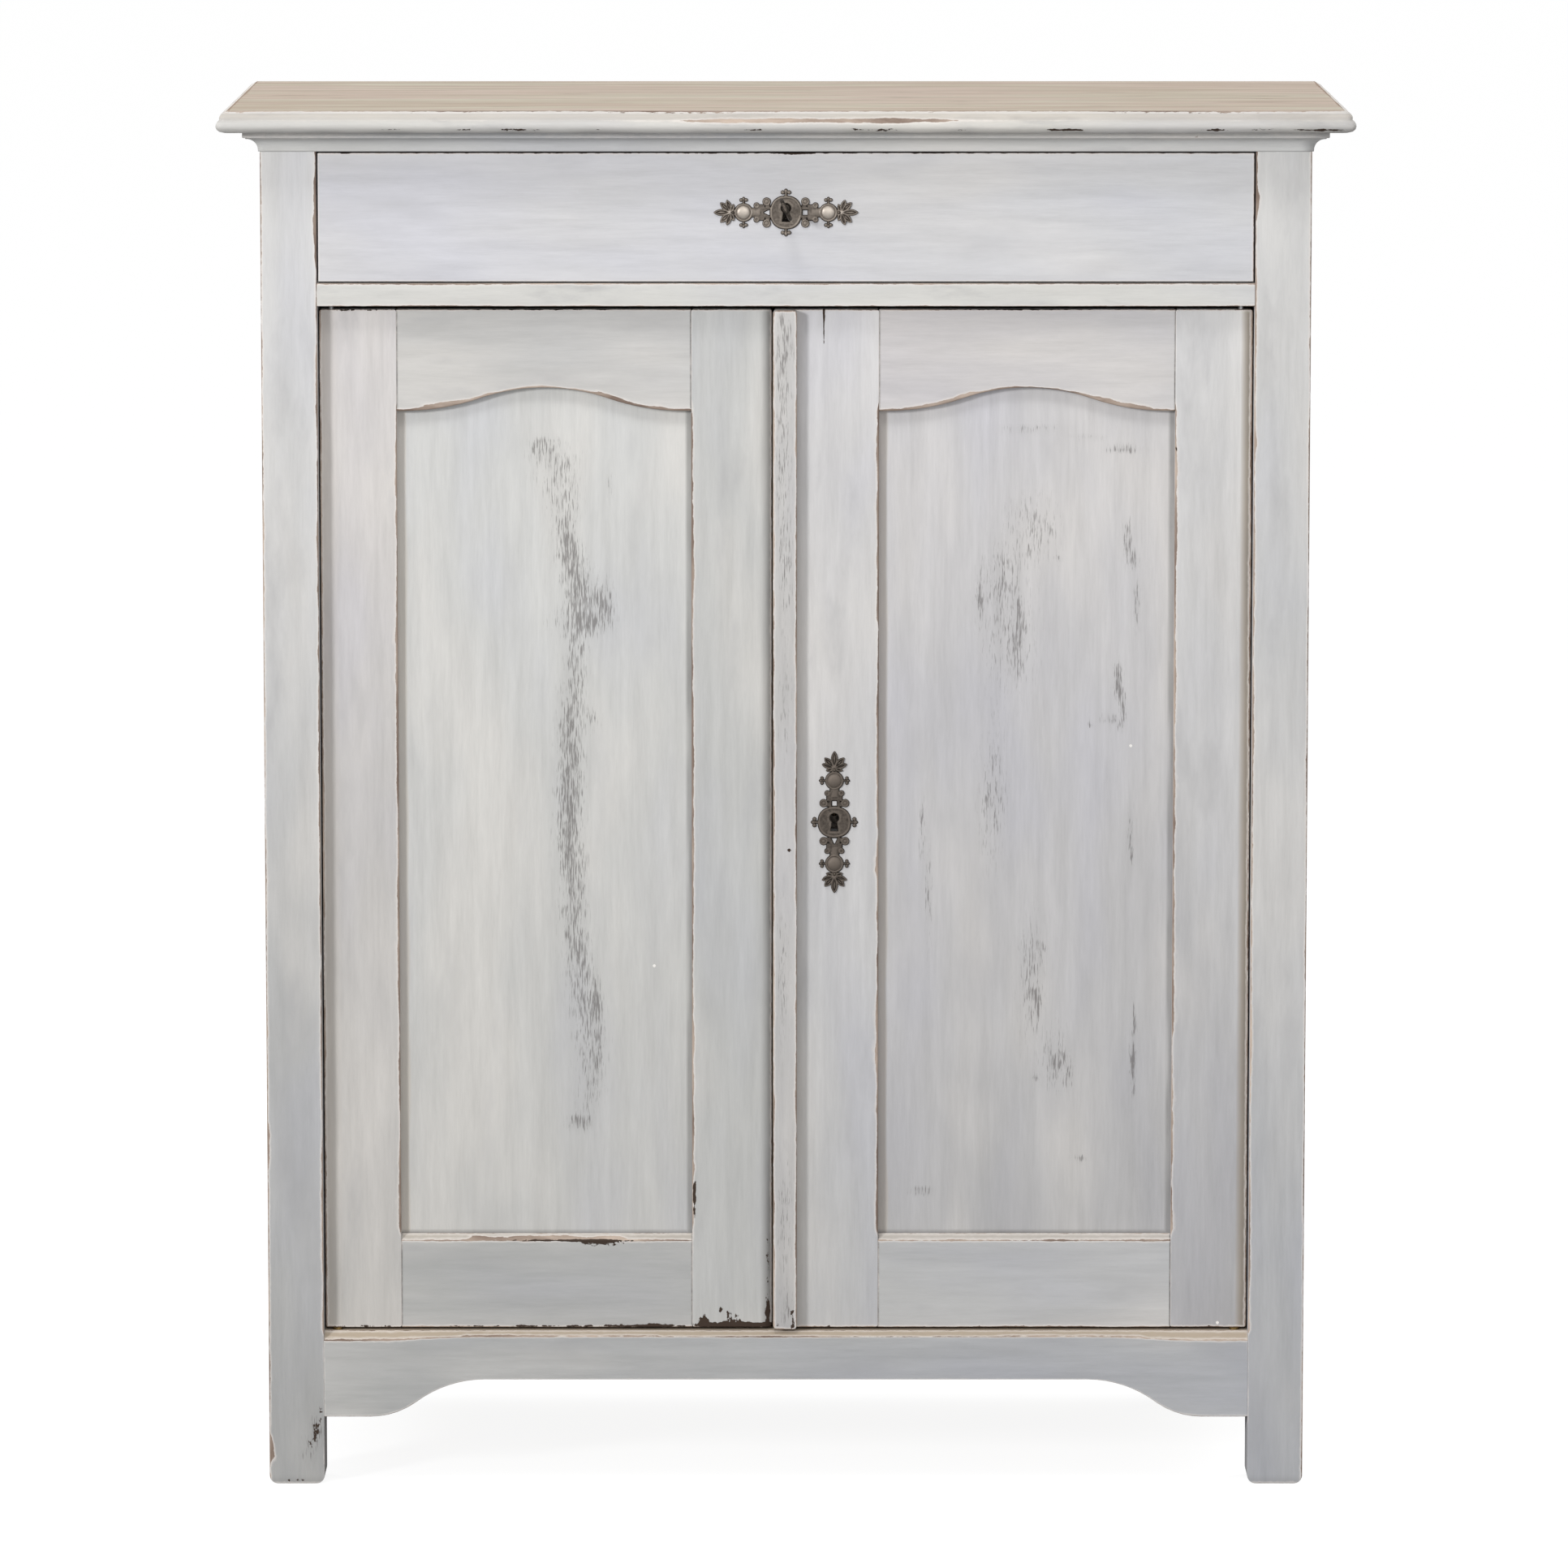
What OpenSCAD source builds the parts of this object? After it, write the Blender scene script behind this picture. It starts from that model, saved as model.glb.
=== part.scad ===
// Two-door buffet cabinet in painted wood: a framed carcass on four post feet, one drawer over
// two arched-panel doors, a moulded top, and pierced ornamental escutcheons over the locks.
// Millimetres. X runs left to right, -Y is the front, Z is up, and the floor is Z = 0.

/* [Overall] */
// Height from the floor to the top surface
overall_h = 1272; // [1180:1:1380]
// Width over the posts
body_w = 956; // [900:1:1060]
// Depth of the carcass from its front face to its back face
body_d = 440; // [400:1:500]
// Height of the cupboard floor above the room's floor
floor_h = 142; // [125:1:170]

/* [Carcass] */
// Width of each post across the front
post_w = 51; // [46:1:60]
// Depth of each post
post_d = 45; // [42:1:55]
// Radius worn and cut on the lower corners of the feet
foot_r = 8; // [3:0.5:14]
// Bevel on the long edges of the visible boards
ease = 1.2; // [0.4:0.1:2]
// Thickness of the side and back rails
side_t = 22; // [20:0.5:26]
// Height of the top rail over the drawer, which is also the cornice's height
top_rail_h = 18.5; // [17:0.5:22]
// Height of the rail between the drawer and the doors
mid_rail_h = 21; // [18:0.5:28]
// Thickness of the shaped apron under the doors
apron_t = 28; // [26:0.5:32]
// Height of the apron at its ends
apron_end_h = 79; // [66:1:90]
// Height of the apron between its two curves
apron_mid_h = 44; // [34:1:56]
// Length of the flat end of the apron's lower edge
apron_flat = 43; // [25:1:60]
// Length of each S-curve of the apron
apron_run = 106; // [80:1:140]
// Height of the plain bottom and middle rails of the sides and back
rail_h = 70; // [60:1:78]
// Thickness of the panels of the sides and the doors
panel_t = 9; // [8:0.5:10]
// Depth of the grooves that hold panels and boards
groove_d = 8; // [6:0.5:10]
// Length of the tenons
tenon_l = 20; // [14:0.5:22]
// Shoulder above and below a tenon
tenon_shoulder = 12; // [8:1:16]
// Thickness of the floor and the shelf
shelf_t = 18; // [15:0.5:22]
// Height of the shelf's underside above the cupboard floor
shelf_up = 468; // [380:1:520]
// How far the shelf stands behind the front posts
shelf_back = 10; // [6:1:40]
// Side of the square cleats under the floor and the shelf
cleat = 20; // [16:1:24]
// Number of upright back boards
back_board_count = 5; // [3:1:7]
// Thickness of the back boards
back_board_t = 10; // [9:0.5:12]
// Overlap of the back boards' rebated edges
lap = 8; // [5:0.5:12]

/* [Top and cornice] */
// Thickness of the top board
top_t = 20; // [18:0.5:26]
// Overhang of the top's rolled edge
top_over = 38; // [34:1:44]
// Radius of the upper part of the roll
roll_r = 10.5; // [8:0.5:12]
// Radius of the lower part of the roll
under_r = 7.5; // [5:0.5:9]
// Projection of the cornice's upper fillet
cornice_over = 15; // [13:0.5:20]
// Height of the cornice's upper fillet
fillet_h = 6; // [4:0.5:7]
// Radius of the cornice's cove
cove_r = 10.5; // [8:0.5:11]

/* [Doors] */
// How far the doors stand behind the face of the carcass
door_recess = 14; // [10:0.5:16]
// Thickness of the door frames
door_t = 21; // [20:0.5:24]
// Width of the stiles on the pivot side
hinge_stile_w = 69.5; // [62:0.5:80]
// Width of the left door's stile on the meeting side
meeting_stile_w = 73.5; // [66:0.5:82]
// Height of the door's bottom rail
door_bottom_h = 87; // [70:1:110]
// Height of the door's top rail at its ends
door_top_h = 93; // [84:1:120]
// Rise of the arch in the top rail
arch_rise = 21.5; // [12:0.5:28]
// Half the length of the arch
arch_run = 128; // [100:1:130]
// How far the panel lies behind the frame's face
panel_back = 8; // [6:0.5:8.5]
// Width of the right door's stile beside the batten
right_stile_w = 72; // [66:0.5:82]
// Width of the cover batten on the right door
batten_w = 24; // [20:0.5:30]
// How far the batten stands proud of the door
batten_t = 11; // [8:0.5:13]
// Distance from the middle of the cabinet to the right door's closing edge
closing_x = 11; // [8:0.5:14]
// Gap beside the doors
door_gap = 2; // [1.8:0.1:3]
// Gap over the doors
door_gap_top = 4; // [3:0.1:5]
// Gap under the doors
door_gap_bottom = 2.5; // [2:0.1:4]
// How far each door opens, in degrees
open_angle = 105; // [90:1:110]
// Clearance of an opening door's edge from its post
swing_gap = 1.7; // [1.4:0.1:2.4]

/* [Pivots] */
// Radius of the steel pivot pins
pin_r = 2.5; // [2:0.1:3]
// Distance from the door's face back to the pivot
pivot_back = 5; // [4.5:0.1:5.5]
// Wall of the brass bushes
bush_wall = 2.3; // [1.6:0.1:2.4]
// Length of each bush inside the wood
bush_l = 12; // [9:0.5:14]
// Length of the pins inside the doors
pin_in_door = 32; // [20:1:50]

/* [Drawer] */
// Height of the drawer front
drawer_front_h = 117; // [105:1:130]
// Thickness of the drawer front
drawer_front_t = 22; // [20:0.5:25]
// Space between the ends of the drawer's sides and the back rail
drawer_space = 28; // [20:1:80]
// Distance from the drawer's back board to the ends of its sides
drawer_tail = 8; // [6:1:20]
// Height of the drawer bottom above the lower edge of the front
drawer_bottom_up = 8; // [7:0.5:12]
// How far the drawer's back stands below the top of the sides
drawer_back_low = 6; // [3:0.5:12]
// Thickness of the drawer sides
drawer_side_t = 12; // [10:0.5:15]
// Height of the drawer sides
drawer_side_h = 98; // [85:1:100]
// Thickness of the drawer bottom
drawer_bottom_t = 6; // [5:0.5:8]
// Wood left in front of the dovetails
dovetail_lap = 6; // [4:0.5:9]
// Number of dovetails at each front corner
dovetail_count = 4; // [3:1:5]
// Gap round the drawer front
reveal = 1.5; // [1:0.1:2.5]

/* [Locks] */
// Radius of the keyhole's round
keyhole_r = 4; // [3.6:0.1:4.6]
// Height of the keyhole from end to end
keyhole_h = 16; // [15:0.5:18]
// Half the width of a lock case
lock_half_w = 22; // [20:0.5:26]
// Depth of a lock case
lock_d = 10; // [9:0.5:12]
// Height of a lock case below its keyhole
lock_below = 8; // [6:0.5:12]
// Wall of a lock case
lock_wall = 2; // [1.5:0.1:2.5]
// Thickness of a lock bolt
bolt_t = 3; // [2.5:0.1:3.4]
// Half the width of a lock bolt's head
bolt_half_w = 12; // [9:0.5:13]
// Travel of the drawer's lock bolt
drawer_bolt_travel = 8; // [6:0.5:8]
// Travel of the door's lock bolt
door_bolt_travel = 9; // [7:0.5:12]
// Radius of the key's shank
shank_r = 2.4; // [2:0.1:2.8]
// Distance from the drawer's face to the middle of the key's bow
key_out = 24; // [20:0.5:32]
// Radius of the key's bow
bow_r = 11; // [9:0.5:13]
// Thickness of the key's bow
bow_t = 3.4; // [2.6:0.2:4]
// Width of the ring of the key's bow
bow_ring = 3.6; // [3:0.2:4.4]
// How far the key stands turned in the drawer's lock, in degrees
key_rest_turn = 25; // [0:1:40]
// Reach of the key's bit from its axis
bit_reach = 9; // [7:0.5:9.5]
// Radius of the left door's slide bolts
slide_r = 3; // [2.5:0.1:3.5]
// Travel of the slide bolts
slide_travel = 15; // [12:0.5:18]
// Length of the slide bolts
slide_l = 110; // [100:1:140]
// Height of a slide bolt's knob above its inner end
knob_up = 30; // [20:1:40]
// Wall of the staples around the slide bolts
staple_wall = 2.5; // [2:0.1:3]

/* [Escutcheons] */
// Height of the drawer's plate above the middle of the drawer front
plate_up = 4.5; // [0:0.5:8]
// Thickness of the pierced plates
plate_t = 1.4; // [1:0.1:2]
// Height of the raised relief on the plates
relief_h = 1.1; // [0.6:0.1:1.4]
// Radius of the round around the keyhole
plate_r = 15.2; // [14.5:0.1:16]
// Distance from the plate's middle to its end discs
disc_x = 38.5; // [37:0.5:40]
// Radius of the end discs
disc_r = 8.7; // [7.5:0.1:9.5]
// Distance from the plate's middle to the root of the palmettes
palmette_x = 51.5; // [50:0.5:54]
// Length of the palmettes' middle leaf
palmette_l = 14.5; // [12:0.5:18]
// Radius of the round lobes beside the keyhole's round
lobe_r = 3.9; // [3.2:0.1:4.4]
// Radius of the ears between the lobes and the discs
ear_r = 2.7; // [2.2:0.1:3.2]
// Side of the small square piercings
piercing = 4.4; // [3.4:0.1:5]

/* [Fits] */
// Side clearance of wooden joints and fixed pins
fit = 0.15; // [0.1:0.05:0.3]
// Radial clearance of a pin that turns in its bush
running_fit = 0.05; // [0.03:0.01:0.08]
// Clearance of sliding metal parts and of a piece at rest on its seat
slide_fit = 0.3; // [0.2:0.05:0.4]

/* [Hidden] */
$fn = 48;
smooth_fn = 96;
cut = 1;
arc_steps = 14;
rail_tenon_t = 14;

half_w = body_w / 2;
front_y = (top_over - body_d) / 2;
back_y = (top_over + body_d) / 2;
carcass_h = overall_h - top_t;
open_w = body_w - 2 * post_w;
half_open = open_w / 2;
inner_front_y = front_y + post_d;
inner_back_y = back_y - post_d;
side_inner = half_w - side_t;

drawer_top_z = carcass_h - top_rail_h - reveal;
drawer_z = drawer_top_z - drawer_front_h;
mid_rail_top = drawer_z - reveal;
mid_rail_z = mid_rail_top - mid_rail_h;
shelf_z = floor_h + shelf_up;
side_mid_z = shelf_z - cleat - (rail_h - cleat) / 2;
side_bottom_z = floor_h - rail_h;
back_top_h = rail_h;

panel_x = (side_t - panel_t) / 2;
back_board_y = back_y - (side_t + back_board_t) / 2;

door_y = front_y + door_recess;
door_back_y = door_y + door_t;
door_z = floor_h + door_gap_bottom;
door_h = mid_rail_z - door_gap_top - door_z;
door_edge_x = half_open - door_gap;
left_door_w = door_edge_x - closing_x - door_gap;
right_door_w = door_edge_x + closing_x;
right_meeting_w = batten_w + right_stile_w;
pivot_in = (pivot_back + swing_gap - (door_recess + pivot_back) * cos(open_angle)) / sin(open_angle)
    - door_gap;
pivot_x = door_edge_x - pivot_in;
pivot_y = door_y + pivot_back;
bush_r = pin_r + running_fit + bush_wall;

keyhole_drop = keyhole_h - 2 * keyhole_r;
keyhole_rise = keyhole_h / 2 - keyhole_r;
lock_low = -keyhole_drop - keyhole_r - lock_below;
lock_shoulder = 6;
drawer_lock_z = drawer_z + drawer_front_h / 2 + plate_up + keyhole_rise;
door_lock_x = 44.5;
door_lock_z = door_z + door_h / 2 + keyhole_rise;
drawer_lock_reach = drawer_top_z - drawer_lock_z;
door_lock_reach = door_lock_x + closing_x;
slide_x = -closing_x - door_gap - meeting_stile_w / 2;
slide_y = door_back_y + slide_r + staple_wall - slide_fit;
slide_rest = 1;
knob_neck_r = 2;
staple_h = 10;
staple_at = 14;
staple_far = slide_rest + slide_l - knob_up - knob_neck_r - slide_travel - staple_h / 2 - 1;

drawer_l = body_d - side_t - drawer_space;
drawer_half_w = half_open - reveal;
drawer_side_z = mid_rail_top + slide_fit;
drawer_side_y = front_y + drawer_front_t;
drawer_back_y = front_y + drawer_l - drawer_side_t - drawer_tail;
drawer_bottom_z = drawer_z + drawer_bottom_up;
drawer_groove = 5;
runner_in = half_open - reveal - 2 * drawer_side_t;
guide_h = 30;
drawer_bolt_rest = drawer_bolt_travel * key_rest_turn / 180;

plate_half = 13.7;
lobe_at = [17.5, 9.9];
ear_at = [26.8, 6.9];
palmette_r = 4.2;
leaf_spread = 43;

// Height of an S made of two tangent arcs, at the distance x along its run.
// The arcs meet at the fraction turn of the run.
function s_height(x, run, rise, turn) =
    let (
        sweep = 2 * atan(rise / run),
        whole_r = run / sin(sweep),
        low_r = whole_r * turn,
        high_r = whole_r * (1 - turn)
    )
    x < run * turn ? low_r - sqrt(low_r ^ 2 - x ^ 2)
                   : rise - high_r + sqrt(high_r ^ 2 - (run - x) ^ 2);

// Points of an S from its low end at x0 to its high end, going right (1) or left (-1).
function s_points(x0, z0, run, rise, turn, way) =
    [for (i = [0:2 * arc_steps])
        let (x = run * i / (2 * arc_steps)) [x0 + way * x, z0 + s_height(x, run, rise, turn)]];

// The same list from its last point to its first.
function reversed(list) = [for (i = [len(list) - 1:-1:0]) list[i]];

paint = "#d0cfcd";
bare_wood = "#b58f66";
old_wood = "#c4b9ac";
antique_metal = "#7d7267";
dark_iron = "#55504b";
bush_brass = "#b08d4f";

// Turns what is written for the left side into the right side.
module on_side(side) {
    if (side == "left") children();
    else mirror([1, 0, 0]) children();
}

// A box from its low corner to its high corner.
module block(low, high) {
    translate(low) cube(high - low);
}

// Stands an outline drawn in X and Z up as a board of thickness t, with its face at y0.
module upright(y0, t) {
    translate([0, y0 + t, 0]) rotate([90, 0, 0]) linear_extrude(t) children();
}

// An outline with bevelled corners along its near side.
module eased_outline(w, t, e) {
    polygon([[0, t], [0, e], [e, 0], [w - e, 0], [w, e], [w, t]]);
}

// A board whose four front edges are bevelled.
module eased_board(w, t, h, e) {
    intersection() {
        linear_extrude(h) eased_outline(w, t, e);
        translate([w, 0, 0]) rotate([0, -90, 0]) linear_extrude(w) eased_outline(h, t, e);
    }
}

// The keyhole: a round with a slot that flares downwards. Its origin is the key's axis.
module keyhole_outline() {
    circle(keyhole_r);
    polygon([
        [-keyhole_r * 0.45, 0], [keyhole_r * 0.45, 0],
        [keyhole_r * 0.8, -keyhole_drop - keyhole_r], [-keyhole_r * 0.8, -keyhole_drop - keyhole_r]
    ]);
}

// Side rails: cross-section in X and Z, running between the posts along Y, with tenons.
module side_rail(z0, h) {
    block([-half_w, inner_front_y, z0], [-side_inner, inner_back_y, z0 + h]);
    side_tenons(z0, h, 0);
}

module side_tenons(z0, h, gap) {
    block([-half_w + panel_x - gap, inner_front_y - tenon_l - gap, z0 + tenon_shoulder - gap],
          [-half_w + panel_x + panel_t + gap, inner_back_y + tenon_l + gap, z0 + h - tenon_shoulder + gap]);
}

// The two panels of one side, between the bottom, middle and top rails.
module side_panels(gap) {
    for (span = [[side_bottom_z + rail_h, side_mid_z], [side_mid_z + rail_h, mid_rail_z]])
        block([-half_w + panel_x - gap, inner_front_y - groove_d - gap, span[0] - groove_d + fit - gap],
              [-half_w + panel_x + panel_t + gap, inner_back_y + groove_d + gap,
               span[1] + groove_d - fit + gap]);
}

// Everything that the side frame lets into the posts.
module side_joinery() {
    side_tenons(side_bottom_z, rail_h, fit);
    side_tenons(side_mid_z, rail_h, fit);
    side_tenons(mid_rail_z, carcass_h - mid_rail_z, fit);
    side_panels(fit);
}

// Tenons of a rail that runs along X between two posts. y and z are [start, size].
module cross_tenons(y, z, gap) {
    block([-half_open - tenon_l - gap, y[0] - gap, z[0] - gap],
          [half_open + tenon_l + gap, y[0] + y[1] + gap, z[0] + z[1] + gap]);
}

module top_rail_tenons(gap) {
    cross_tenons([front_y + 10, rail_tenon_t], [carcass_h - top_rail_h + 5, top_rail_h - 10], gap);
}

module mid_rail_tenons(gap) {
    cross_tenons([front_y + 10, rail_tenon_t], [mid_rail_z + 5, mid_rail_h - 10], gap);
}

module apron_tenons(gap) {
    cross_tenons([front_y + (apron_t - panel_t) / 2, panel_t],
                 [floor_h - apron_end_h + tenon_shoulder, apron_end_h - 2 * tenon_shoulder], gap);
}

module back_tenons(z0, h, gap) {
    cross_tenons([back_board_y, back_board_t], [z0 + tenon_shoulder, h - 2 * tenon_shoulder], gap);
}

// One post on the left, from y0 back, with rounded lower corners.
module post(y0) {
    intersection() {
        translate([-half_w, y0, 0]) linear_extrude(carcass_h)
            polygon([
                [0, ease], [ease, 0], [post_w - ease, 0], [post_w, ease],
                [post_w, post_d - ease], [post_w - ease, post_d], [ease, post_d], [0, post_d - ease]
            ]);
        upright(y0, post_d) translate([-half_w, 0]) {
            translate([0, foot_r]) square([post_w, carcass_h - foot_r]);
            translate([foot_r, 0]) square([post_w - 2 * foot_r, foot_r]);
            for (x = [foot_r, post_w - foot_r]) translate([x, foot_r]) circle(foot_r);
        }
    }
}

module front_post(side) {
    color(paint) on_side(side) difference() {
        post(front_y);
        side_joinery();
        top_rail_tenons(fit);
        mid_rail_tenons(fit);
        apron_tenons(fit);
    }
}

module back_post(side) {
    color(paint) on_side(side) difference() {
        post(inner_back_y);
        side_joinery();
        back_tenons(carcass_h - back_top_h, back_top_h, fit);
        back_tenons(side_bottom_z, rail_h, fit);
        back_board_space(fit);
    }
}

module front_top_rail() {
    color(paint) difference() {
        union() {
            block([-half_open, front_y, carcass_h - top_rail_h], [half_open, inner_front_y, carcass_h]);
            top_rail_tenons(0);
        }
        lock_bolt_slot();
    }
}

// The slot in the top rail that the drawer's bolt rises into.
module lock_bolt_slot() {
    block([-bolt_half_w - 1, drawer_side_y + lock_d / 2 - bolt_t / 2 - 1, carcass_h - top_rail_h - cut],
          [bolt_half_w + 1, drawer_side_y + lock_d / 2 + bolt_t / 2 + 1,
           drawer_top_z + drawer_bolt_travel + 1.5]);
}

module front_middle_rail() {
    color(paint) difference() {
        union() {
            translate([-half_open, front_y, mid_rail_z]) eased_rail(open_w, post_d, mid_rail_h);
            mid_rail_tenons(0);
        }
        for (x = [-pivot_x, pivot_x]) translate([x, pivot_y, mid_rail_z - cut])
            cylinder(r = bush_r + fit, h = bush_l + fit + cut);
        translate([slide_x, slide_y, mid_rail_z - cut])
            cylinder(r = slide_r + slide_fit, h = slide_travel + cut);
    }
}

// A rail with its two long front edges bevelled.
module eased_rail(w, t, h) {
    translate([w, 0, 0]) rotate([0, -90, 0]) linear_extrude(w) eased_outline(h, t, ease);
}

// The apron's outline: level ends, an S up on each side, and a level middle.
module apron_outline() {
    end_z = floor_h - apron_end_h;
    rise = apron_end_h - apron_mid_h;
    curve = s_points(-half_open + apron_flat, end_z, apron_run, rise, 0.4, 1);
    polygon(concat(
        [[-half_open, floor_h], [-half_open, end_z]],
        curve,
        reversed([for (p = curve) [-p[0], p[1]]]),
        [[half_open, end_z], [half_open, floor_h]]
    ));
}

module front_apron() {
    color(paint) difference() {
        union() {
            intersection() {
                upright(front_y, apron_t) apron_outline();
                translate([-half_open, front_y, 0]) eased_rail(open_w, apron_t, floor_h);
            }
            apron_tenons(0);
        }
        for (x = [-pivot_x, pivot_x]) translate([x, pivot_y, floor_h - bush_l - fit])
            cylinder(r = bush_r + fit, h = bush_l + fit + cut);
    }
}

module back_top_rail() {
    color(bare_wood) difference() {
        union() {
            block([-half_open, back_y - side_t, carcass_h - back_top_h], [half_open, back_y, carcass_h]);
            back_tenons(carcass_h - back_top_h, back_top_h, 0);
        }
        back_board_space(fit);
    }
}

module back_bottom_rail() {
    color(bare_wood) difference() {
        union() {
            block([-half_open, back_y - side_t, side_bottom_z], [half_open, back_y, floor_h]);
            back_tenons(side_bottom_z, rail_h, 0);
        }
        back_board_space(fit);
    }
}

// The space that the back boards fill, with their edges in the grooves.
module back_board_space(gap) {
    reach = half_open + groove_d - fit + gap;
    block([-reach, back_board_y - gap, floor_h - groove_d + fit - gap],
          [reach, back_board_y + back_board_t + gap, carcass_h - back_top_h + groove_d - fit + gap]);
}

// Upright boards with rebated edges that lap over each other.
module back_boards() {
    width = 2 * (half_open + groove_d - fit) / back_board_count;
    half_t = back_board_t / 2;
    color(bare_wood) for (i = [0:back_board_count - 1]) {
        left_lap = i == 0 ? 0 : lap;
        right_lap = i == back_board_count - 1 ? 0 : lap;
        right_gap = i == back_board_count - 1 ? 0 : 1;
        translate([-half_open - groove_d + fit + i * width, back_board_y, floor_h - groove_d + fit])
            linear_extrude(carcass_h - back_top_h - floor_h + 2 * (groove_d - fit)) {
                translate([0, 0]) square([width - right_gap, half_t - fit]);
                translate([left_lap, half_t - fit - 0.01])
                    square([width - left_lap + right_lap - right_gap, half_t + fit + 0.01]);
            }
    }
}

module top_side_rail(side) {
    color(paint) on_side(side) difference() {
        side_rail(mid_rail_z, carcass_h - mid_rail_z);
        side_panels(fit);
    }
}

module middle_side_rail(side) {
    color(paint) on_side(side) difference() {
        side_rail(side_mid_z, rail_h);
        side_panels(fit);
    }
}

module bottom_side_rail(side) {
    color(paint) on_side(side) difference() {
        side_rail(side_bottom_z, rail_h);
        side_panels(fit);
    }
}

module panels_of_side(side) {
    color(paint) on_side(side) side_panels(0);
}

// Half of the space outside the body's outline, cut at 45 degrees at the front corners.
module front_mitre(h) {
    reach = 2 * top_over;
    linear_extrude(h) polygon([
        [-half_w, front_y], [-half_w - reach, front_y - reach],
        [half_w + reach, front_y - reach], [half_w, front_y]
    ]);
}

module left_mitre(h) {
    reach = 2 * top_over;
    linear_extrude(h) polygon([
        [-half_w, front_y], [-half_w, back_y], [-half_w - reach, back_y],
        [-half_w - reach, front_y - reach]
    ]);
}

// Carries a moulding's outline along the front or the left side. The outline's X is the
// distance out from the body and its Y is the height.
module front_run(h) {
    intersection() {
        translate([-half_w - 2 * top_over, front_y, 0]) rotate([90, 0, 90])
            linear_extrude(body_w + 4 * top_over) mirror([1, 0]) children();
        front_mitre(h);
    }
}

module left_run(h) {
    intersection() {
        translate([-half_w, back_y, 0]) rotate([90, 0, 0])
            linear_extrude(body_d + 2 * top_over) mirror([1, 0]) children();
        left_mitre(h);
    }
}

// The top's edge: a small step, then a roll whose lower part is tighter.
module roll_outline() {
    tip = top_over;
    difference() {
        union() {
            square([tip - roll_r, top_t]);
            intersection() {
                translate([tip - roll_r, under_r]) circle(roll_r, $fn = smooth_fn);
                translate([0, under_r]) square([tip, top_t]);
            }
            translate([tip - under_r, under_r]) circle(under_r, $fn = smooth_fn);
            square([tip - under_r, under_r + 0.01]);
        }
        translate([0, -top_t]) square([tip, top_t]);
    }
}

module top_board() {
    color(old_wood) translate([0, 0, carcass_h]) union() {
        block([-half_w, front_y, 0], [half_w, back_y, top_t]);
        front_run(top_t) roll_outline();
        left_run(top_t) roll_outline();
        mirror([1, 0, 0]) left_run(top_t) roll_outline();
    }
}

// The cornice: a fillet over a cove.
module cornice_outline() {
    difference() {
        square([cornice_over, top_rail_h]);
        translate([cornice_over - 2, top_rail_h - fillet_h - cove_r]) circle(cove_r, $fn = smooth_fn);
        translate([cornice_over - 2, -cut]) square([4, top_rail_h - fillet_h + cut]);
        translate([cornice_over - 2 - cove_r, -cut])
            square([cove_r + 4, top_rail_h - fillet_h - cove_r + cut]);
    }
}

module cornice_front() {
    color(paint) translate([0, 0, carcass_h - top_rail_h]) front_run(top_rail_h) cornice_outline();
}

module cornice_side(side) {
    color(paint) translate([0, 0, carcass_h - top_rail_h])
        on_side(side) left_run(top_rail_h) cornice_outline();
}

// A board that fills the plan inside the rails and is notched round the posts.
module notched_board(y0, y1, z0) {
    difference() {
        block([-side_inner + fit, y0, z0], [side_inner - fit, y1, z0 + shelf_t]);
        for (side = [-1, 1]) {
            translate([side * half_w, inner_front_y - post_d / 2 + fit, z0])
                cube([2 * post_w + 2 * fit, post_d, 4 * shelf_t], center = true);
            translate([side * half_w, inner_back_y + post_d / 2 - fit, z0])
                cube([2 * post_w + 2 * fit, post_d, 4 * shelf_t], center = true);
        }
    }
}

module floor_board() {
    color(bare_wood) difference() {
        notched_board(front_y + apron_t + fit, back_y - side_t - fit, floor_h - shelf_t);
        translate([slide_x, slide_y, floor_h - shelf_t - cut])
            cylinder(r = slide_r + slide_fit, h = shelf_t + 2 * cut);
    }
}

module shelf() {
    color(bare_wood)
        notched_board(inner_front_y + shelf_back, back_board_y - fit, shelf_z);
}

// Bars along the inside of the side rails, from post to post.
module side_bars(x_in, z0, h) {
    for (side = ["left", "right"]) on_side(side)
        block([-side_inner, inner_front_y, z0], [-x_in, inner_back_y, z0 + h]);
}

module floor_cleats() {
    color(bare_wood) side_bars(half_open, floor_h - shelf_t - cleat, cleat);
}

module shelf_cleats() {
    color(bare_wood) side_bars(half_open, shelf_z - cleat, cleat);
}

module drawer_runners() {
    color(bare_wood) side_bars(runner_in, mid_rail_z, mid_rail_h);
}

module drawer_guides() {
    color(bare_wood) side_bars(half_open, mid_rail_top, guide_h);
}

module drawer_kickers() {
    color(bare_wood) side_bars(runner_in, drawer_side_z + drawer_side_h + reveal, top_rail_h);
}

// Brass bushes in the middle rail and the apron. The lower ones stand up under the doors.
module pivot_bushes() {
    proud = door_gap_bottom - slide_fit;
    color(bush_brass) for (x = [-pivot_x, pivot_x]) {
        translate([x, pivot_y, mid_rail_z]) bush(bush_l);
        translate([x, pivot_y, floor_h - bush_l]) bush(bush_l + proud);
    }
}

module bush(h) {
    difference() {
        cylinder(r = bush_r, h = h);
        translate([0, 0, -cut]) cylinder(r = pin_r + running_fit, h = h + 2 * cut);
    }
}

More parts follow.
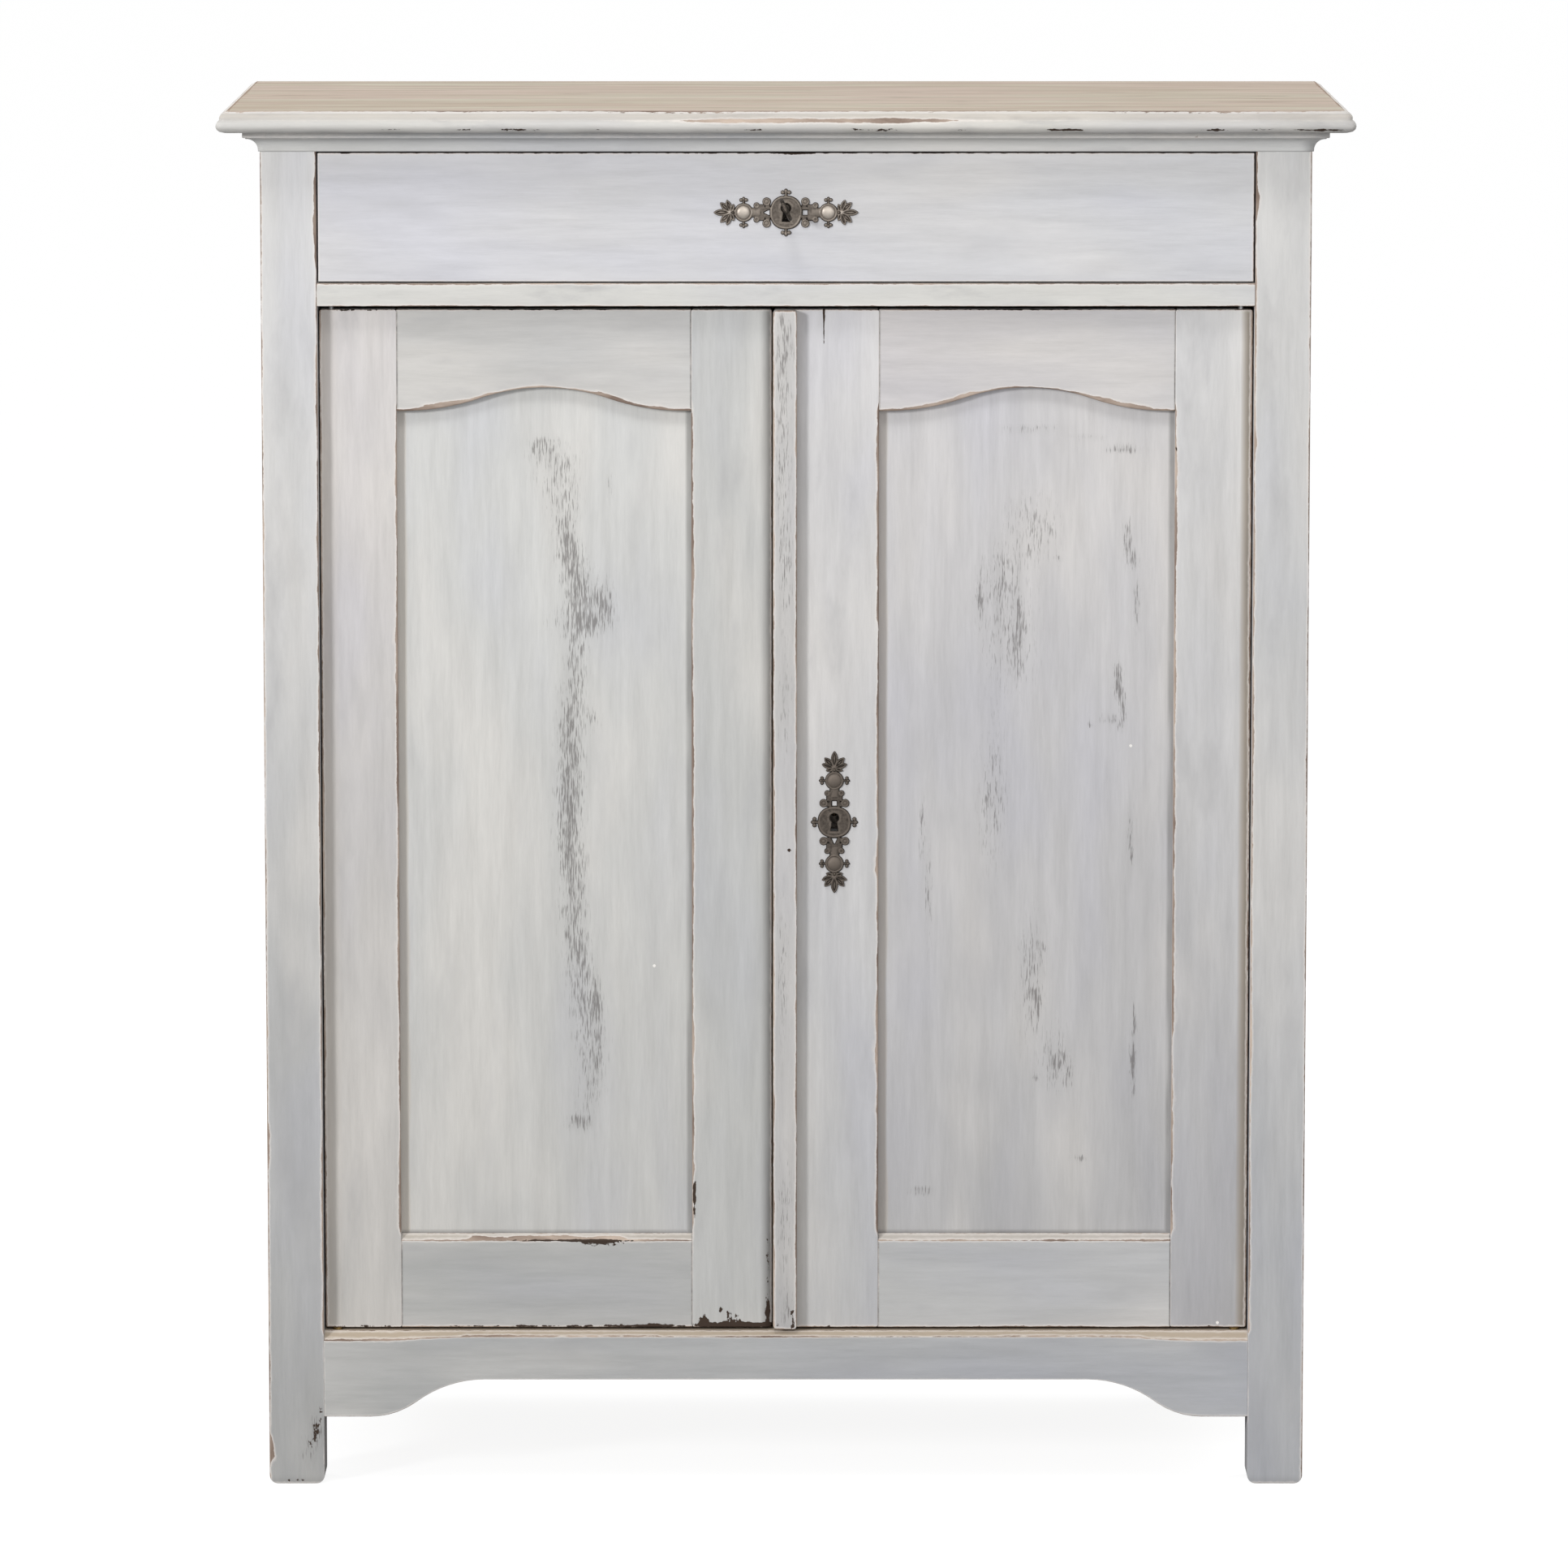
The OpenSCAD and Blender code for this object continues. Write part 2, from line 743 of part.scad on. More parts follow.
// Dovetail tails of the left drawer side, drawn in Y and Z: narrow at the root.
module dovetails(gap) {
    edge = 2;
    pitch = (drawer_side_h - 2 * edge) / dovetail_count;
    root = pitch * 0.26;
    tip = pitch * 0.36;
    y_tip = front_y + dovetail_lap;
    for (i = [0:dovetail_count - 1])
        translate([-drawer_half_w, 0, drawer_z + edge + (i + 0.5) * pitch]) rotate([90, 0, 90])
            linear_extrude(drawer_side_t + gap) polygon([
                [drawer_side_y, -root - gap], [y_tip - gap, -tip - gap],
                [y_tip - gap, tip + gap], [drawer_side_y, root + gap]
            ]);
}

module drawer_front() {
    color(paint) difference() {
        translate([-drawer_half_w, front_y, drawer_z])
            eased_board(2 * drawer_half_w, drawer_front_t, drawer_front_h, ease);
        for (side = ["left", "right"]) on_side(side) translate([-fit, 0, 0]) dovetails(2 * fit);
        translate([0, 0, drawer_lock_z]) upright(front_y - cut, drawer_front_t + 2 * cut)
            keyhole_outline();
        drawer_bottom_panel(fit);
    }
}

// The drawer bottom, in grooves of the front and the sides and under the back.
module drawer_bottom_panel(gap) {
    reach = drawer_half_w - drawer_side_t + drawer_groove + gap;
    block([-reach, drawer_side_y - drawer_groove - gap, drawer_bottom_z - gap],
          [reach, front_y + drawer_l - drawer_tail / 2, drawer_bottom_z + drawer_bottom_t + gap]);
}

module drawer_side(side) {
    color(bare_wood) on_side(side) difference() {
        union() {
            block([-drawer_half_w, drawer_side_y, drawer_side_z],
                  [-drawer_half_w + drawer_side_t, front_y + drawer_l, drawer_side_z + drawer_side_h]);
            dovetails(0);
        }
        drawer_bottom_panel(fit);
        drawer_back_board(fit);
    }
}

// The drawer's back, housed in the sides and standing on the bottom.
module drawer_back_board(gap) {
    reach = drawer_half_w - drawer_side_t + drawer_groove - 1 + gap;
    block([-reach, drawer_back_y - gap, drawer_bottom_z + drawer_bottom_t + fit - gap],
          [reach, drawer_back_y + drawer_side_t + gap,
           drawer_side_z + drawer_side_h - drawer_back_low + gap]);
}

module drawer_back() {
    color(bare_wood) drawer_back_board(0);
}

module drawer_bottom() {
    color(bare_wood) drawer_bottom_panel(0);
}

// A lock case seen from its key axis: the bolt leaves upwards, the wood closes its open side.
module lock_case(reach) {
    low = lock_low;
    difference() {
        block([-lock_half_w, 0, low], [lock_half_w, lock_d, reach]);
        block([-lock_half_w + lock_shoulder - slide_fit, -cut, low + lock_wall],
              [lock_half_w - lock_shoulder + slide_fit, lock_d - lock_wall, reach - lock_wall]);
        block([-bolt_half_w - slide_fit, lock_d / 2 - bolt_t / 2 - slide_fit, reach - lock_wall - cut],
              [bolt_half_w + slide_fit, lock_d / 2 + bolt_t / 2 + slide_fit, reach + cut]);
        rotate([-90, 0, 0]) cylinder(r = shank_r + running_fit, h = lock_d + cut);
    }
}

// A lock bolt: a wide tail with a window for the key's bit, and a narrower head.
module lock_bolt(reach, window_low, window_high, travel) {
    low = lock_low + lock_wall + slide_fit;
    tail_top = reach - lock_wall - travel - lock_shoulder;
    difference() {
        union() {
            block([-lock_half_w + lock_shoulder, lock_d / 2 - bolt_t / 2, low],
                  [lock_half_w - lock_shoulder, lock_d / 2 + bolt_t / 2, tail_top]);
            block([-bolt_half_w, lock_d / 2 - bolt_t / 2, low],
                  [bolt_half_w, lock_d / 2 + bolt_t / 2, reach]);
        }
        block([window_low[0], -cut, window_low[1]], [window_high[0], lock_d + cut, window_high[1]]);
    }
}

module drawer_lock_place() {
    translate([0, drawer_side_y, drawer_lock_z]) children();
}

// Turned so that the bolt leaves towards the left door.
module door_lock_place() {
    translate([door_lock_x, door_back_y, door_lock_z]) rotate([0, -90, 0]) children();
}

module drawer_lock_case() {
    color(dark_iron) drawer_lock_place() lock_case(drawer_lock_reach);
}

module drawer_lock_bolt() {
    color(dark_iron) drawer_lock_place() translate([0, 0, drawer_bolt_rest]) lock_bolt(
        drawer_lock_reach - drawer_bolt_rest,
        [-bit_reach - 1.5, -bit_reach - 2.3], [bit_reach + 1.5, shank_r + 1.1], drawer_bolt_travel);
}

module door_lock_case() {
    color(dark_iron) door_lock_place() lock_case(door_lock_reach);
}

module door_lock_bolt() {
    clear = keyhole_r + 0.5;
    color(dark_iron) door_lock_place() lock_bolt(
        door_lock_reach,
        [-keyhole_drop - clear, -clear - door_bolt_travel], [clear, clear], door_bolt_travel);
}

// A flat ring bow, a round shank with a collar, and a bit that points down in the keyhole.
module drawer_key() {
    bow_y = front_y - key_out;
    shank_end = drawer_side_y + lock_d - slide_fit;
    bit_y = [drawer_side_y + 4 * slide_fit, drawer_side_y + lock_d - lock_wall - slide_fit];
    bit_half = shank_r / 2;
    collar = [shank_r + 1.2, 3];
    color(dark_iron) translate([0, 0, drawer_lock_z]) rotate([0, -key_rest_turn, 0]) difference() {
        union() {
            translate([0, bow_y, 0]) rotate([0, 90, 0])
                cylinder(r = bow_r, h = bow_t, center = true, $fn = smooth_fn);
            translate([0, shank_end, 0]) rotate([90, 0, 0])
                cylinder(r = shank_r, h = shank_end - bow_y - bow_r + bow_ring / 2);
            translate([0, front_y - plate_t - relief_h - slide_fit, 0]) rotate([90, 0, 0])
                cylinder(r = collar[0], h = collar[1]);
            block([-bit_half, bit_y[0], -bit_reach], [bit_half, bit_y[1], 0]);
        }
        translate([-bow_t, bow_y, 0]) rotate([0, 90, 0])
            cylinder(r = bow_r - bow_ring, h = 2 * bow_t, $fn = smooth_fn);
    }
}

// Escutcheon outline, with the long axis along X. What stands at one end or side is mirrored.
module escutcheon_outline() {
    circle(plate_r, $fn = smooth_fn);
    square([2 * plate_half, 1.25 * plate_r], center = true);
    square([2 * disc_x, 11], center = true);
    for (u = [-1, 1]) {
        for (v = [-1, 1]) {
            translate([u * lobe_at[0], v * lobe_at[1]]) circle(lobe_r);
            translate([u * lobe_at[0], v * lobe_at[1] / 2]) square(lobe_at[1], center = true);
            translate([u * ear_at[0], v * ear_at[1]]) circle(ear_r);
            translate([u * disc_x, v * (disc_r + 2.6)]) rotate(v > 0 ? 0 : 180) trefoil(0.85);
        }
        translate([0, u * (plate_r + 3)]) rotate(u > 0 ? 0 : 180) trefoil(1);
        translate([u * disc_x, 0]) circle(disc_r, $fn = smooth_fn);
        translate([u * palmette_x, 0]) circle(palmette_r);
        translate([u * palmette_x, 0]) palmette(u, 1);
        translate([u * (disc_x + palmette_x) / 2, 0]) square([palmette_x - disc_x, 6.4], center = true);
    }
}

// Two round lobes and a point, standing on a stem that reaches down to the plate.
module trefoil(size) {
    translate([0, -1.5 * size]) square([3.4 * size, 6 * size], center = true);
    for (side = [-1, 1]) translate([side * 2.9 * size, 0.4 * size]) circle(1.9 * size);
    polygon([[-2 * size, 1.4 * size], [0, 4.3 * size], [2 * size, 1.4 * size]]);
}

// A leaf along X from its root, round near the tip.
module leaf(l, w) {
    polygon([for (i = [0:2 * arc_steps - 1])
        let (t = 180 * i / arc_steps)
        [l / 2 - l / 2 * cos(t), w / 2 * sin(t) * (0.78 - 0.22 * cos(t))]]);
}

// Five leaves that fan out from the neck. Full is 1 on the plate and less on the relief.
module palmette(way, full) {
    for (k = [-2:2])
        rotate((way > 0 ? 0 : 180) + leaf_spread * k)
            leaf(palmette_l * (1 - 0.075 * abs(k)) * (full + 1) / 2, 6.4 * full);
}

// Holes pierced through the plate: one between each pair of lobes and one in each neck.
module piercings() {
    for (u = [-1, 1]) {
        translate([u * lobe_at[0], 0]) square(piercing, center = true);
        translate([u * lobe_at[0] + u * piercing / 2, 0])
            polygon([[0, -piercing / 2], [u * piercing / 2, 0], [0, piercing / 2]]);
        translate([u * (palmette_x - 2.6), 0]) circle(piercing / 4);
    }
}

// The plate with its relief. Its long axis is X and its face looks to -Y.
module escutcheon() {
    difference() {
        union() {
            upright(-plate_t, plate_t) escutcheon_outline();
            upright(-plate_t - relief_h, relief_h + plate_t / 2) difference() {
                circle(plate_r - 1.2, $fn = smooth_fn);
                circle(plate_r - 2.8, $fn = smooth_fn);
            }
            for (u = [-1, 1]) {
                upright(-plate_t - relief_h / 2, relief_h) translate([u * palmette_x, 0]) palmette(u, 0.6);
                translate([u * disc_x, -plate_t, 0]) stud(disc_r - 2.9, 2 * relief_h);
                for (v = [-1, 1]) {
                    translate([u * lobe_at[0], -plate_t, v * lobe_at[1]]) stud(lobe_r - 1, relief_h);
                    translate([u * ear_at[0], -plate_t, v * ear_at[1]]) stud(ear_r - 0.9, relief_h);
                }
            }
        }
        upright(-plate_t - relief_h - cut, plate_t + relief_h + 2 * cut) piercings();
    }
}

// A low domed boss that faces -Y.
module stud(r, h) {
    dome_r = (r ^ 2 + h ^ 2) / (2 * h);
    rotate([90, 0, 0]) intersection() {
        translate([0, 0, h - dome_r]) sphere(dome_r, $fn = smooth_fn);
        translate([0, 0, -plate_t / 2]) cylinder(r = r, h = h + plate_t);
    }
}

module drawer_escutcheon() {
    color(antique_metal) difference() {
        translate([0, front_y, drawer_lock_z - keyhole_rise]) escutcheon();
        translate([0, front_y, drawer_lock_z]) plate_keyhole();
    }
}

module door_escutcheon() {
    color(antique_metal) difference() {
        translate([door_lock_x, door_y, door_lock_z - keyhole_rise]) rotate([0, 90, 0]) escutcheon();
        translate([door_lock_x, door_y, door_lock_z]) plate_keyhole();
    }
}

// The keyhole as a cutter through a plate and its relief.
module plate_keyhole() {
    upright(-plate_t - relief_h - cut, plate_t + relief_h + 2 * cut) keyhole_outline();
}

// Puts a door drawn from its pivot edge, its face and its foot into its place.
module door_place(side) {
    on_side(side) translate([-door_edge_x, door_y, door_z]) children();
}

// The opening for the panel, grown into the grooves. Its top follows the arch.
module door_opening(w, meeting_w, grow) {
    x0 = hinge_stile_w;
    x1 = w - meeting_w;
    mid = (x0 + x1) / 2;
    foot = door_h - door_top_h;
    curve = s_points(mid - arch_run, foot + grow, arch_run, arch_rise, 0.55, 1);
    polygon(concat(
        [[x0 - grow, door_bottom_h - grow], [x0 - grow, foot + grow]],
        curve,
        reversed([for (p = curve) [2 * mid - p[0], p[1]]]),
        [[x1 + grow, foot + grow], [x1 + grow, door_bottom_h - grow]]
    ));
}

module door_panel(w, meeting_w, gap) {
    upright(panel_back - gap, panel_t + 2 * gap) door_opening(w, meeting_w, groove_d - fit + gap);
}

module door_tenons(w, meeting_w, z0, h, gap) {
    block([hinge_stile_w - tenon_l - gap, panel_back - gap, z0 - gap],
          [w - meeting_w + tenon_l + gap, panel_back + panel_t + gap, z0 + h + gap]);
}

// Height and size of the tenons of the door's top and bottom rails.
top_tenon = [door_h - door_top_h + arch_rise + tenon_shoulder, door_top_h - arch_rise - 2 * tenon_shoulder];
bottom_tenon = [tenon_shoulder, door_bottom_h - 2 * tenon_shoulder - groove_d];

module door_joinery(w, meeting_w) {
    door_panel(w, meeting_w, fit);
    door_tenons(w, meeting_w, bottom_tenon[0], bottom_tenon[1], fit);
    door_tenons(w, meeting_w, top_tenon[0], top_tenon[1], fit);
}

module door_hinge_stile(w, meeting_w) {
    difference() {
        eased_board(hinge_stile_w, door_t, door_h, ease);
        door_joinery(w, meeting_w);
        translate([pivot_in, pivot_back, -cut]) cylinder(r = pin_r + fit, h = pin_in_door + fit + cut);
        translate([pivot_in, pivot_back, door_h - pin_in_door - fit])
            cylinder(r = pin_r + fit, h = pin_in_door + fit + cut);
    }
}

module door_meeting_stile(w, meeting_w) {
    difference() {
        translate([w - meeting_w, 0, 0]) eased_board(meeting_w, door_t, door_h, ease);
        door_joinery(w, meeting_w);
    }
}

module door_top_rail(w, meeting_w) {
    difference() {
        union() {
            difference() {
                block([hinge_stile_w, 0, door_h - door_top_h], [w - meeting_w, door_t, door_h]);
                upright(-cut, door_t + 2 * cut) door_opening(w, meeting_w, 0);
            }
            door_tenons(w, meeting_w, top_tenon[0], top_tenon[1], 0);
        }
        door_panel(w, meeting_w, fit);
    }
}

module door_bottom_rail(w, meeting_w) {
    difference() {
        union() {
            block([hinge_stile_w, 0, 0], [w - meeting_w, door_t, door_bottom_h]);
            door_tenons(w, meeting_w, bottom_tenon[0], bottom_tenon[1], 0);
        }
        door_panel(w, meeting_w, fit);
    }
}

// Steel pins at the top and the foot of a door, inside its pivot stile.
module door_pivots() {
    below = door_gap_bottom + bush_l - 2;
    above = door_gap_top + bush_l - 2;
    translate([pivot_in, pivot_back, -below]) cylinder(r = pin_r, h = pin_in_door + below);
    translate([pivot_in, pivot_back, door_h - pin_in_door]) cylinder(r = pin_r, h = pin_in_door + above);
}

module left_door_hinge_stile() {
    color(paint) door_place("left") door_hinge_stile(left_door_w, meeting_stile_w);
}

module left_door_meeting_stile() {
    color(paint) door_place("left") door_meeting_stile(left_door_w, meeting_stile_w);
}

module left_door_top_rail() {
    color(paint) door_place("left") door_top_rail(left_door_w, meeting_stile_w);
}

module left_door_bottom_rail() {
    color(paint) door_place("left") door_bottom_rail(left_door_w, meeting_stile_w);
}

module left_door_panel() {
    color(paint) door_place("left") door_panel(left_door_w, meeting_stile_w, 0);
}

module left_door_pivots() {
    color(dark_iron) door_place("left") door_pivots();
}

module right_door_hinge_stile() {
    color(paint) door_place("right") door_hinge_stile(right_door_w, right_meeting_w);
}

module right_door_meeting_stile() {
    color(paint) difference() {
        door_place("right") door_meeting_stile(right_door_w, right_meeting_w);
        translate([door_lock_x, 0, door_lock_z]) upright(door_y - cut, door_t + 2 * cut) keyhole_outline();
    }
}

module right_door_top_rail() {
    color(paint) door_place("right") door_top_rail(right_door_w, right_meeting_w);
}

module right_door_bottom_rail() {
    color(paint) door_place("right") door_bottom_rail(right_door_w, right_meeting_w);
}

module right_door_panel() {
    color(paint) door_place("right") door_panel(right_door_w, right_meeting_w, 0);
}

module right_door_pivots() {
    color(dark_iron) door_place("right") door_pivots();
}

// The cover batten, round on its front edges, flush with the right door's closing edge.
module right_door_batten() {
    batten_r = 3;
    color(paint) translate([-closing_x, door_y - batten_t, door_z]) linear_extrude(door_h) {
        translate([0, batten_r]) square([batten_w, batten_t - batten_r]);
        translate([batten_r, 0]) square([batten_w - 2 * batten_r, batten_r]);
        for (x = [batten_r, batten_w - batten_r]) translate([x, batten_r]) circle(batten_r);
    }
}

// A slide bolt: a round rod with a thumb knob. It is drawn upright from its outer end down.
module slide_bolt() {
    knob_r = 5;
    knob_y = slide_r + 1.6 * knob_r;
    translate([0, 0, -slide_l]) cylinder(r = slide_r, h = slide_l);
    translate([0, 0, knob_up - slide_l]) rotate([-90, 0, 0]) cylinder(r = knob_neck_r, h = knob_y);
    translate([0, knob_y, knob_up - slide_l]) sphere(knob_r);
}

module left_door_top_bolt() {
    color(dark_iron) translate([slide_x, slide_y, door_z + door_h - slide_rest]) slide_bolt();
}

module left_door_bottom_bolt() {
    color(dark_iron) translate([slide_x, slide_y, door_z + slide_rest]) mirror([0, 0, 1]) slide_bolt();
}

// Two staples a bolt, fixed to the back of the stile, that the rods slide through.
module left_door_bolt_keepers() {
    color(dark_iron) for (z = [staple_at, staple_far, door_h - staple_far, door_h - staple_at])
        translate([slide_x, slide_y, door_z + z]) staple();
}

module staple() {
    half = slide_r + staple_wall;
    foot = [8, 1.6];
    back = door_back_y - slide_y;
    difference() {
        union() {
            block([-half, back, -staple_h / 2], [half, half, staple_h / 2]);
            block([-half - foot[0], back, -staple_h / 2], [half + foot[0], back + foot[1], staple_h / 2]);
        }
        translate([0, 0, -staple_h / 2 - cut]) cylinder(r = slide_r + slide_fit, h = staple_h + 2 * cut);
    }
}

// The box on the left door's back that the right door's bolt runs into.
module left_door_lock_keeper() {
    wall = 4;
    play = 1;
    box_w = door_bolt_travel + 2 * wall + 7;
    hole_half = bolt_half_w + play;
    hole_y = [lock_d / 2 - bolt_t / 2 - play, lock_d / 2 + bolt_t / 2 + play];
    color(dark_iron) translate([-closing_x - door_gap, door_back_y, door_lock_z]) difference() {
        block([-box_w, 0, -hole_half - wall], [0, lock_d, hole_half + wall]);
        block([-box_w + wall, hole_y[0], -hole_half], [cut, hole_y[1], hole_half]);
    }
}

front_post("left");  // front_left_post
front_post("right");  // front_right_post
back_post("left");  // back_left_post
back_post("right");  // back_right_post
front_top_rail();
front_middle_rail();
front_apron();
back_top_rail();
back_bottom_rail();
back_boards();
top_side_rail("left");  // left_top_rail
middle_side_rail("left");  // left_middle_rail
bottom_side_rail("left");  // left_bottom_rail
panels_of_side("left");  // left_side_panels
top_side_rail("right");  // right_top_rail
middle_side_rail("right");  // right_middle_rail
bottom_side_rail("right");  // right_bottom_rail
panels_of_side("right");  // right_side_panels
top_board();
cornice_front();
cornice_side("left");  // cornice_left
cornice_side("right");  // cornice_right
floor_board();
floor_cleats();
shelf();
shelf_cleats();
drawer_runners();
drawer_guides();
drawer_kickers();
pivot_bushes();
drawer_front();
drawer_side("left");  // drawer_left_side
drawer_side("right");  // drawer_right_side
drawer_back();
drawer_bottom();
drawer_escutcheon();
drawer_lock_case();
drawer_lock_bolt();
drawer_key();
left_door_hinge_stile();
left_door_meeting_stile();
left_door_top_rail();
left_door_bottom_rail();
left_door_panel();
left_door_pivots();
left_door_top_bolt();
left_door_bottom_bolt();
left_door_bolt_keepers();
left_door_lock_keeper();
right_door_hinge_stile();
right_door_meeting_stile();
right_door_top_rail();
right_door_bottom_rail();
right_door_panel();
right_door_pivots();
right_door_batten();
door_escutcheon();
door_lock_case();
door_lock_bolt();
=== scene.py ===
import math

import bpy
import numpy as np
from bpy.props import FloatProperty, FloatVectorProperty, PointerProperty
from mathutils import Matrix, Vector


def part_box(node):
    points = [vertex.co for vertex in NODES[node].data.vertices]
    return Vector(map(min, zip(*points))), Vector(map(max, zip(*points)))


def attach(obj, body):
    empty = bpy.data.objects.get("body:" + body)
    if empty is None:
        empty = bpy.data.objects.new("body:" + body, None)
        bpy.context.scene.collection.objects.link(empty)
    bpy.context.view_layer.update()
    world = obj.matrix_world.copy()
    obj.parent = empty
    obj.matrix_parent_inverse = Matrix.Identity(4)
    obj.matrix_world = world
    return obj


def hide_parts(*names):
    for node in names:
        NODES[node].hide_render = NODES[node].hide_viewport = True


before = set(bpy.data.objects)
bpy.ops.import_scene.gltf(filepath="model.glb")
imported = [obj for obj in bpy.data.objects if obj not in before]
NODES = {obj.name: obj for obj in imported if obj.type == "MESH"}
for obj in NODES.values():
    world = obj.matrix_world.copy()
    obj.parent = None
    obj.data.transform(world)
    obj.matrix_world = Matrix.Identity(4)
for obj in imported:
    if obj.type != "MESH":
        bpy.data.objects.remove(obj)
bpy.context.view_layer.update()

bl_info = {
    "name": "Painted buffet cabinet",
    "version": (1, 0, 0),
    "blender": (4, 5, 0),
    "location": "View3D > Sidebar > Buffet",
    "description": "Dresses the packed buffet cabinet in worn chalk paint, old metal and bare wood",
    "category": "Object",
}

MM = 0.001


# Colours and nodes

def linear(hex_colour):
    """Linear RGB of an sRGB colour that is written as a hex value."""
    srgb = np.array([int(hex_colour[i:i + 2], 16) for i in (1, 3, 5)]) / 255
    return tuple(float(v) for v in np.where(srgb <= 0.04045, srgb / 12.92,
                                            ((srgb + 0.055) / 1.055) ** 2.4))


def feed(tree, node, inputs):
    """Links or sets the inputs of node. A node given stands for its first output, or for its colour
    if it is a Mix, and a hex value stands for its colour."""
    for key, value in inputs.items():
        if isinstance(value, bpy.types.Node):
            value = value.outputs[2 if value.bl_idname == "ShaderNodeMix" else 0]
        if isinstance(value, str):
            value = (*linear(value), 1)
        if isinstance(value, bpy.types.NodeSocket):
            tree.links.new(value, node.inputs[key])
        else:
            node.inputs[key].default_value = value


def add(tree, kind, inputs=(), **settings):
    """Adds a node to tree. Settings are its properties, and inputs feed or set its sockets."""
    node = tree.nodes.new("ShaderNode" + kind)
    for name, value in settings.items():
        setattr(node, name, value)
    feed(tree, node, dict(inputs))
    return node


def new_material(name, **constants):
    """An empty material with its Principled shader, on which the constants are set."""
    material = bpy.data.materials.new(name)
    material.use_nodes = True
    shader = material.node_tree.nodes["Principled BSDF"]
    for socket, value in constants.items():
        shader.inputs[socket.replace("_", " ")].default_value = value
    return material, material.node_tree, shader


def board_space(tree, grain, stretch, seed):
    """Object coordinates in millimetres, drawn out by stretch along the grain, shifted by seed."""
    scale = [1000.0, 1000.0, 1000.0]
    scale["XYZ".index(grain)] /= stretch
    shift = [seed * 37.7 % 310, seed * 23.9 % 270, seed * 51.1 % 290]
    coords = add(tree, "TexCoord").outputs["Object"]
    return add(tree, "Mapping", {"Vector": coords, "Location": shift, "Scale": scale})


# Grids

# Distances from an edge of the grid lines that lie close to it.
NEAR = np.array([0, 0.25, 0.6, 1.0, 1.6, 2.4, 3.6]) * MM


def ruled(a, b, step, extra=()):
    """Grid lines from a to b: close together near both ends, then about a step apart."""
    near = NEAR * min(1, (b - a) / (2.2 * NEAR[-1]))
    count = max(2, round((b - a - 2 * near[-1]) / step) + 1)
    middle = np.linspace(a + near[-1], b - near[-1], count)[1:-1]
    return np.unique(np.round(np.concatenate([a + near, middle, b - near, extra]), 7))


def skin(x, y, z, hollow=None):
    """The closed surface of the cells between the grid lines x, y and z, less the hollow cells.

    Each wall between a full and an empty cell is one face, which looks away from the full one.
    Returns the points that the faces use and the faces."""
    full = np.zeros((len(x) + 1, len(y) + 1, len(z) + 1), np.int8)
    full[1:-1, 1:-1, 1:-1] = 1 if hollow is None else ~hollow
    corner = np.arange(len(x) * len(y) * len(z)).reshape(len(x), len(y), len(z))
    faces = []
    for axis, (u, v) in enumerate(((1, 2), (2, 0), (0, 1))):
        change = np.diff(full, axis=axis)
        wall = np.argwhere(change)
        turned = change[tuple(wall.T)] > 0
        wall[:, u] -= 1
        wall[:, v] -= 1
        quad = []
        for du, dv in ((0, 0), (1, 0), (1, 1), (0, 1)):
            at = wall.copy()
            at[:, u] += du
            at[:, v] += dv
            quad.append(corner[tuple(at.T)])
        quad = np.stack(quad, 1)
        quad[turned] = quad[turned][:, ::-1]
        faces.append(quad)
    used, faces = np.unique(np.concatenate(faces), return_inverse=True)
    i, j, k = np.unravel_index(used, corner.shape)
    return np.stack([x[i], y[j], z[k]], 1), faces.reshape(-1, 4)


def waves(points, seed, length, count=10):
    """Smooth noise, mostly from -1 to 1: a sum of plane waves of about one length, in seeded
    directions."""
    rng = np.random.default_rng(seed)
    ways = rng.normal(size=(count, 3))
    ways /= np.linalg.norm(ways, axis=1)[:, None]
    ways *= 2 * np.pi / (length * rng.uniform(0.6, 1.7, (count, 1)))
    return np.sin(points @ ways.T + rng.uniform(0, 2 * np.pi, count)).sum(1) / count ** 0.5


def rounded(points, lo, hi, radius):
    """Rounds a box: each point is pushed onto a sphere or cylinder of its own radius about the box
    that stands that radius inside."""
    radius = np.minimum(radius, 0.45 * (hi - lo).min())[:, None]
    inner = np.clip(points, lo + radius, hi - radius)
    away = points - inner
    length = np.linalg.norm(away, axis=1, keepdims=True)
    return inner + away / np.maximum(length, 1e-12) * radius


def tube_faces(count, around, ring=False):
    """Quads between stations of around points each, where each station is a closed loop. In a ring
    the last station is joined to the first."""
    i, j = np.meshgrid(np.arange(count if ring else count - 1), np.arange(around), indexing="ij")
    i2, j2 = (i + 1) % count, (j + 1) % around
    return np.stack([i * around + j, i * around + j2, i2 * around + j2, i2 * around + j],
                    -1).reshape(-1, 4)


def finish_mesh(mesh, layers):
    """Gives a mesh one float attribute for each named layer, and smooth shading."""
    for layer, values in layers.items():
        mesh.attributes.new(layer, "FLOAT", "POINT").data.foreach_set(
            "value", values.astype(np.float32))
    mesh.shade_smooth()
    mesh.validate()
    return mesh


def fill_mesh(name, points, faces, layers=None):
    """A mesh of quads with its layers."""
    mesh = bpy.data.meshes.new(name)
    mesh.vertices.add(len(points))
    mesh.vertices.foreach_set("co", points.astype(np.float32).ravel())
    mesh.loops.add(faces.size)
    mesh.loops.foreach_set("vertex_index", faces.astype(np.int32).ravel())
    mesh.polygons.add(len(faces))
    mesh.polygons.foreach_set("loop_start", np.arange(0, faces.size, 4, dtype=np.int32))
    mesh.update(calc_edges=True)
    return finish_mesh(mesh, layers or {})


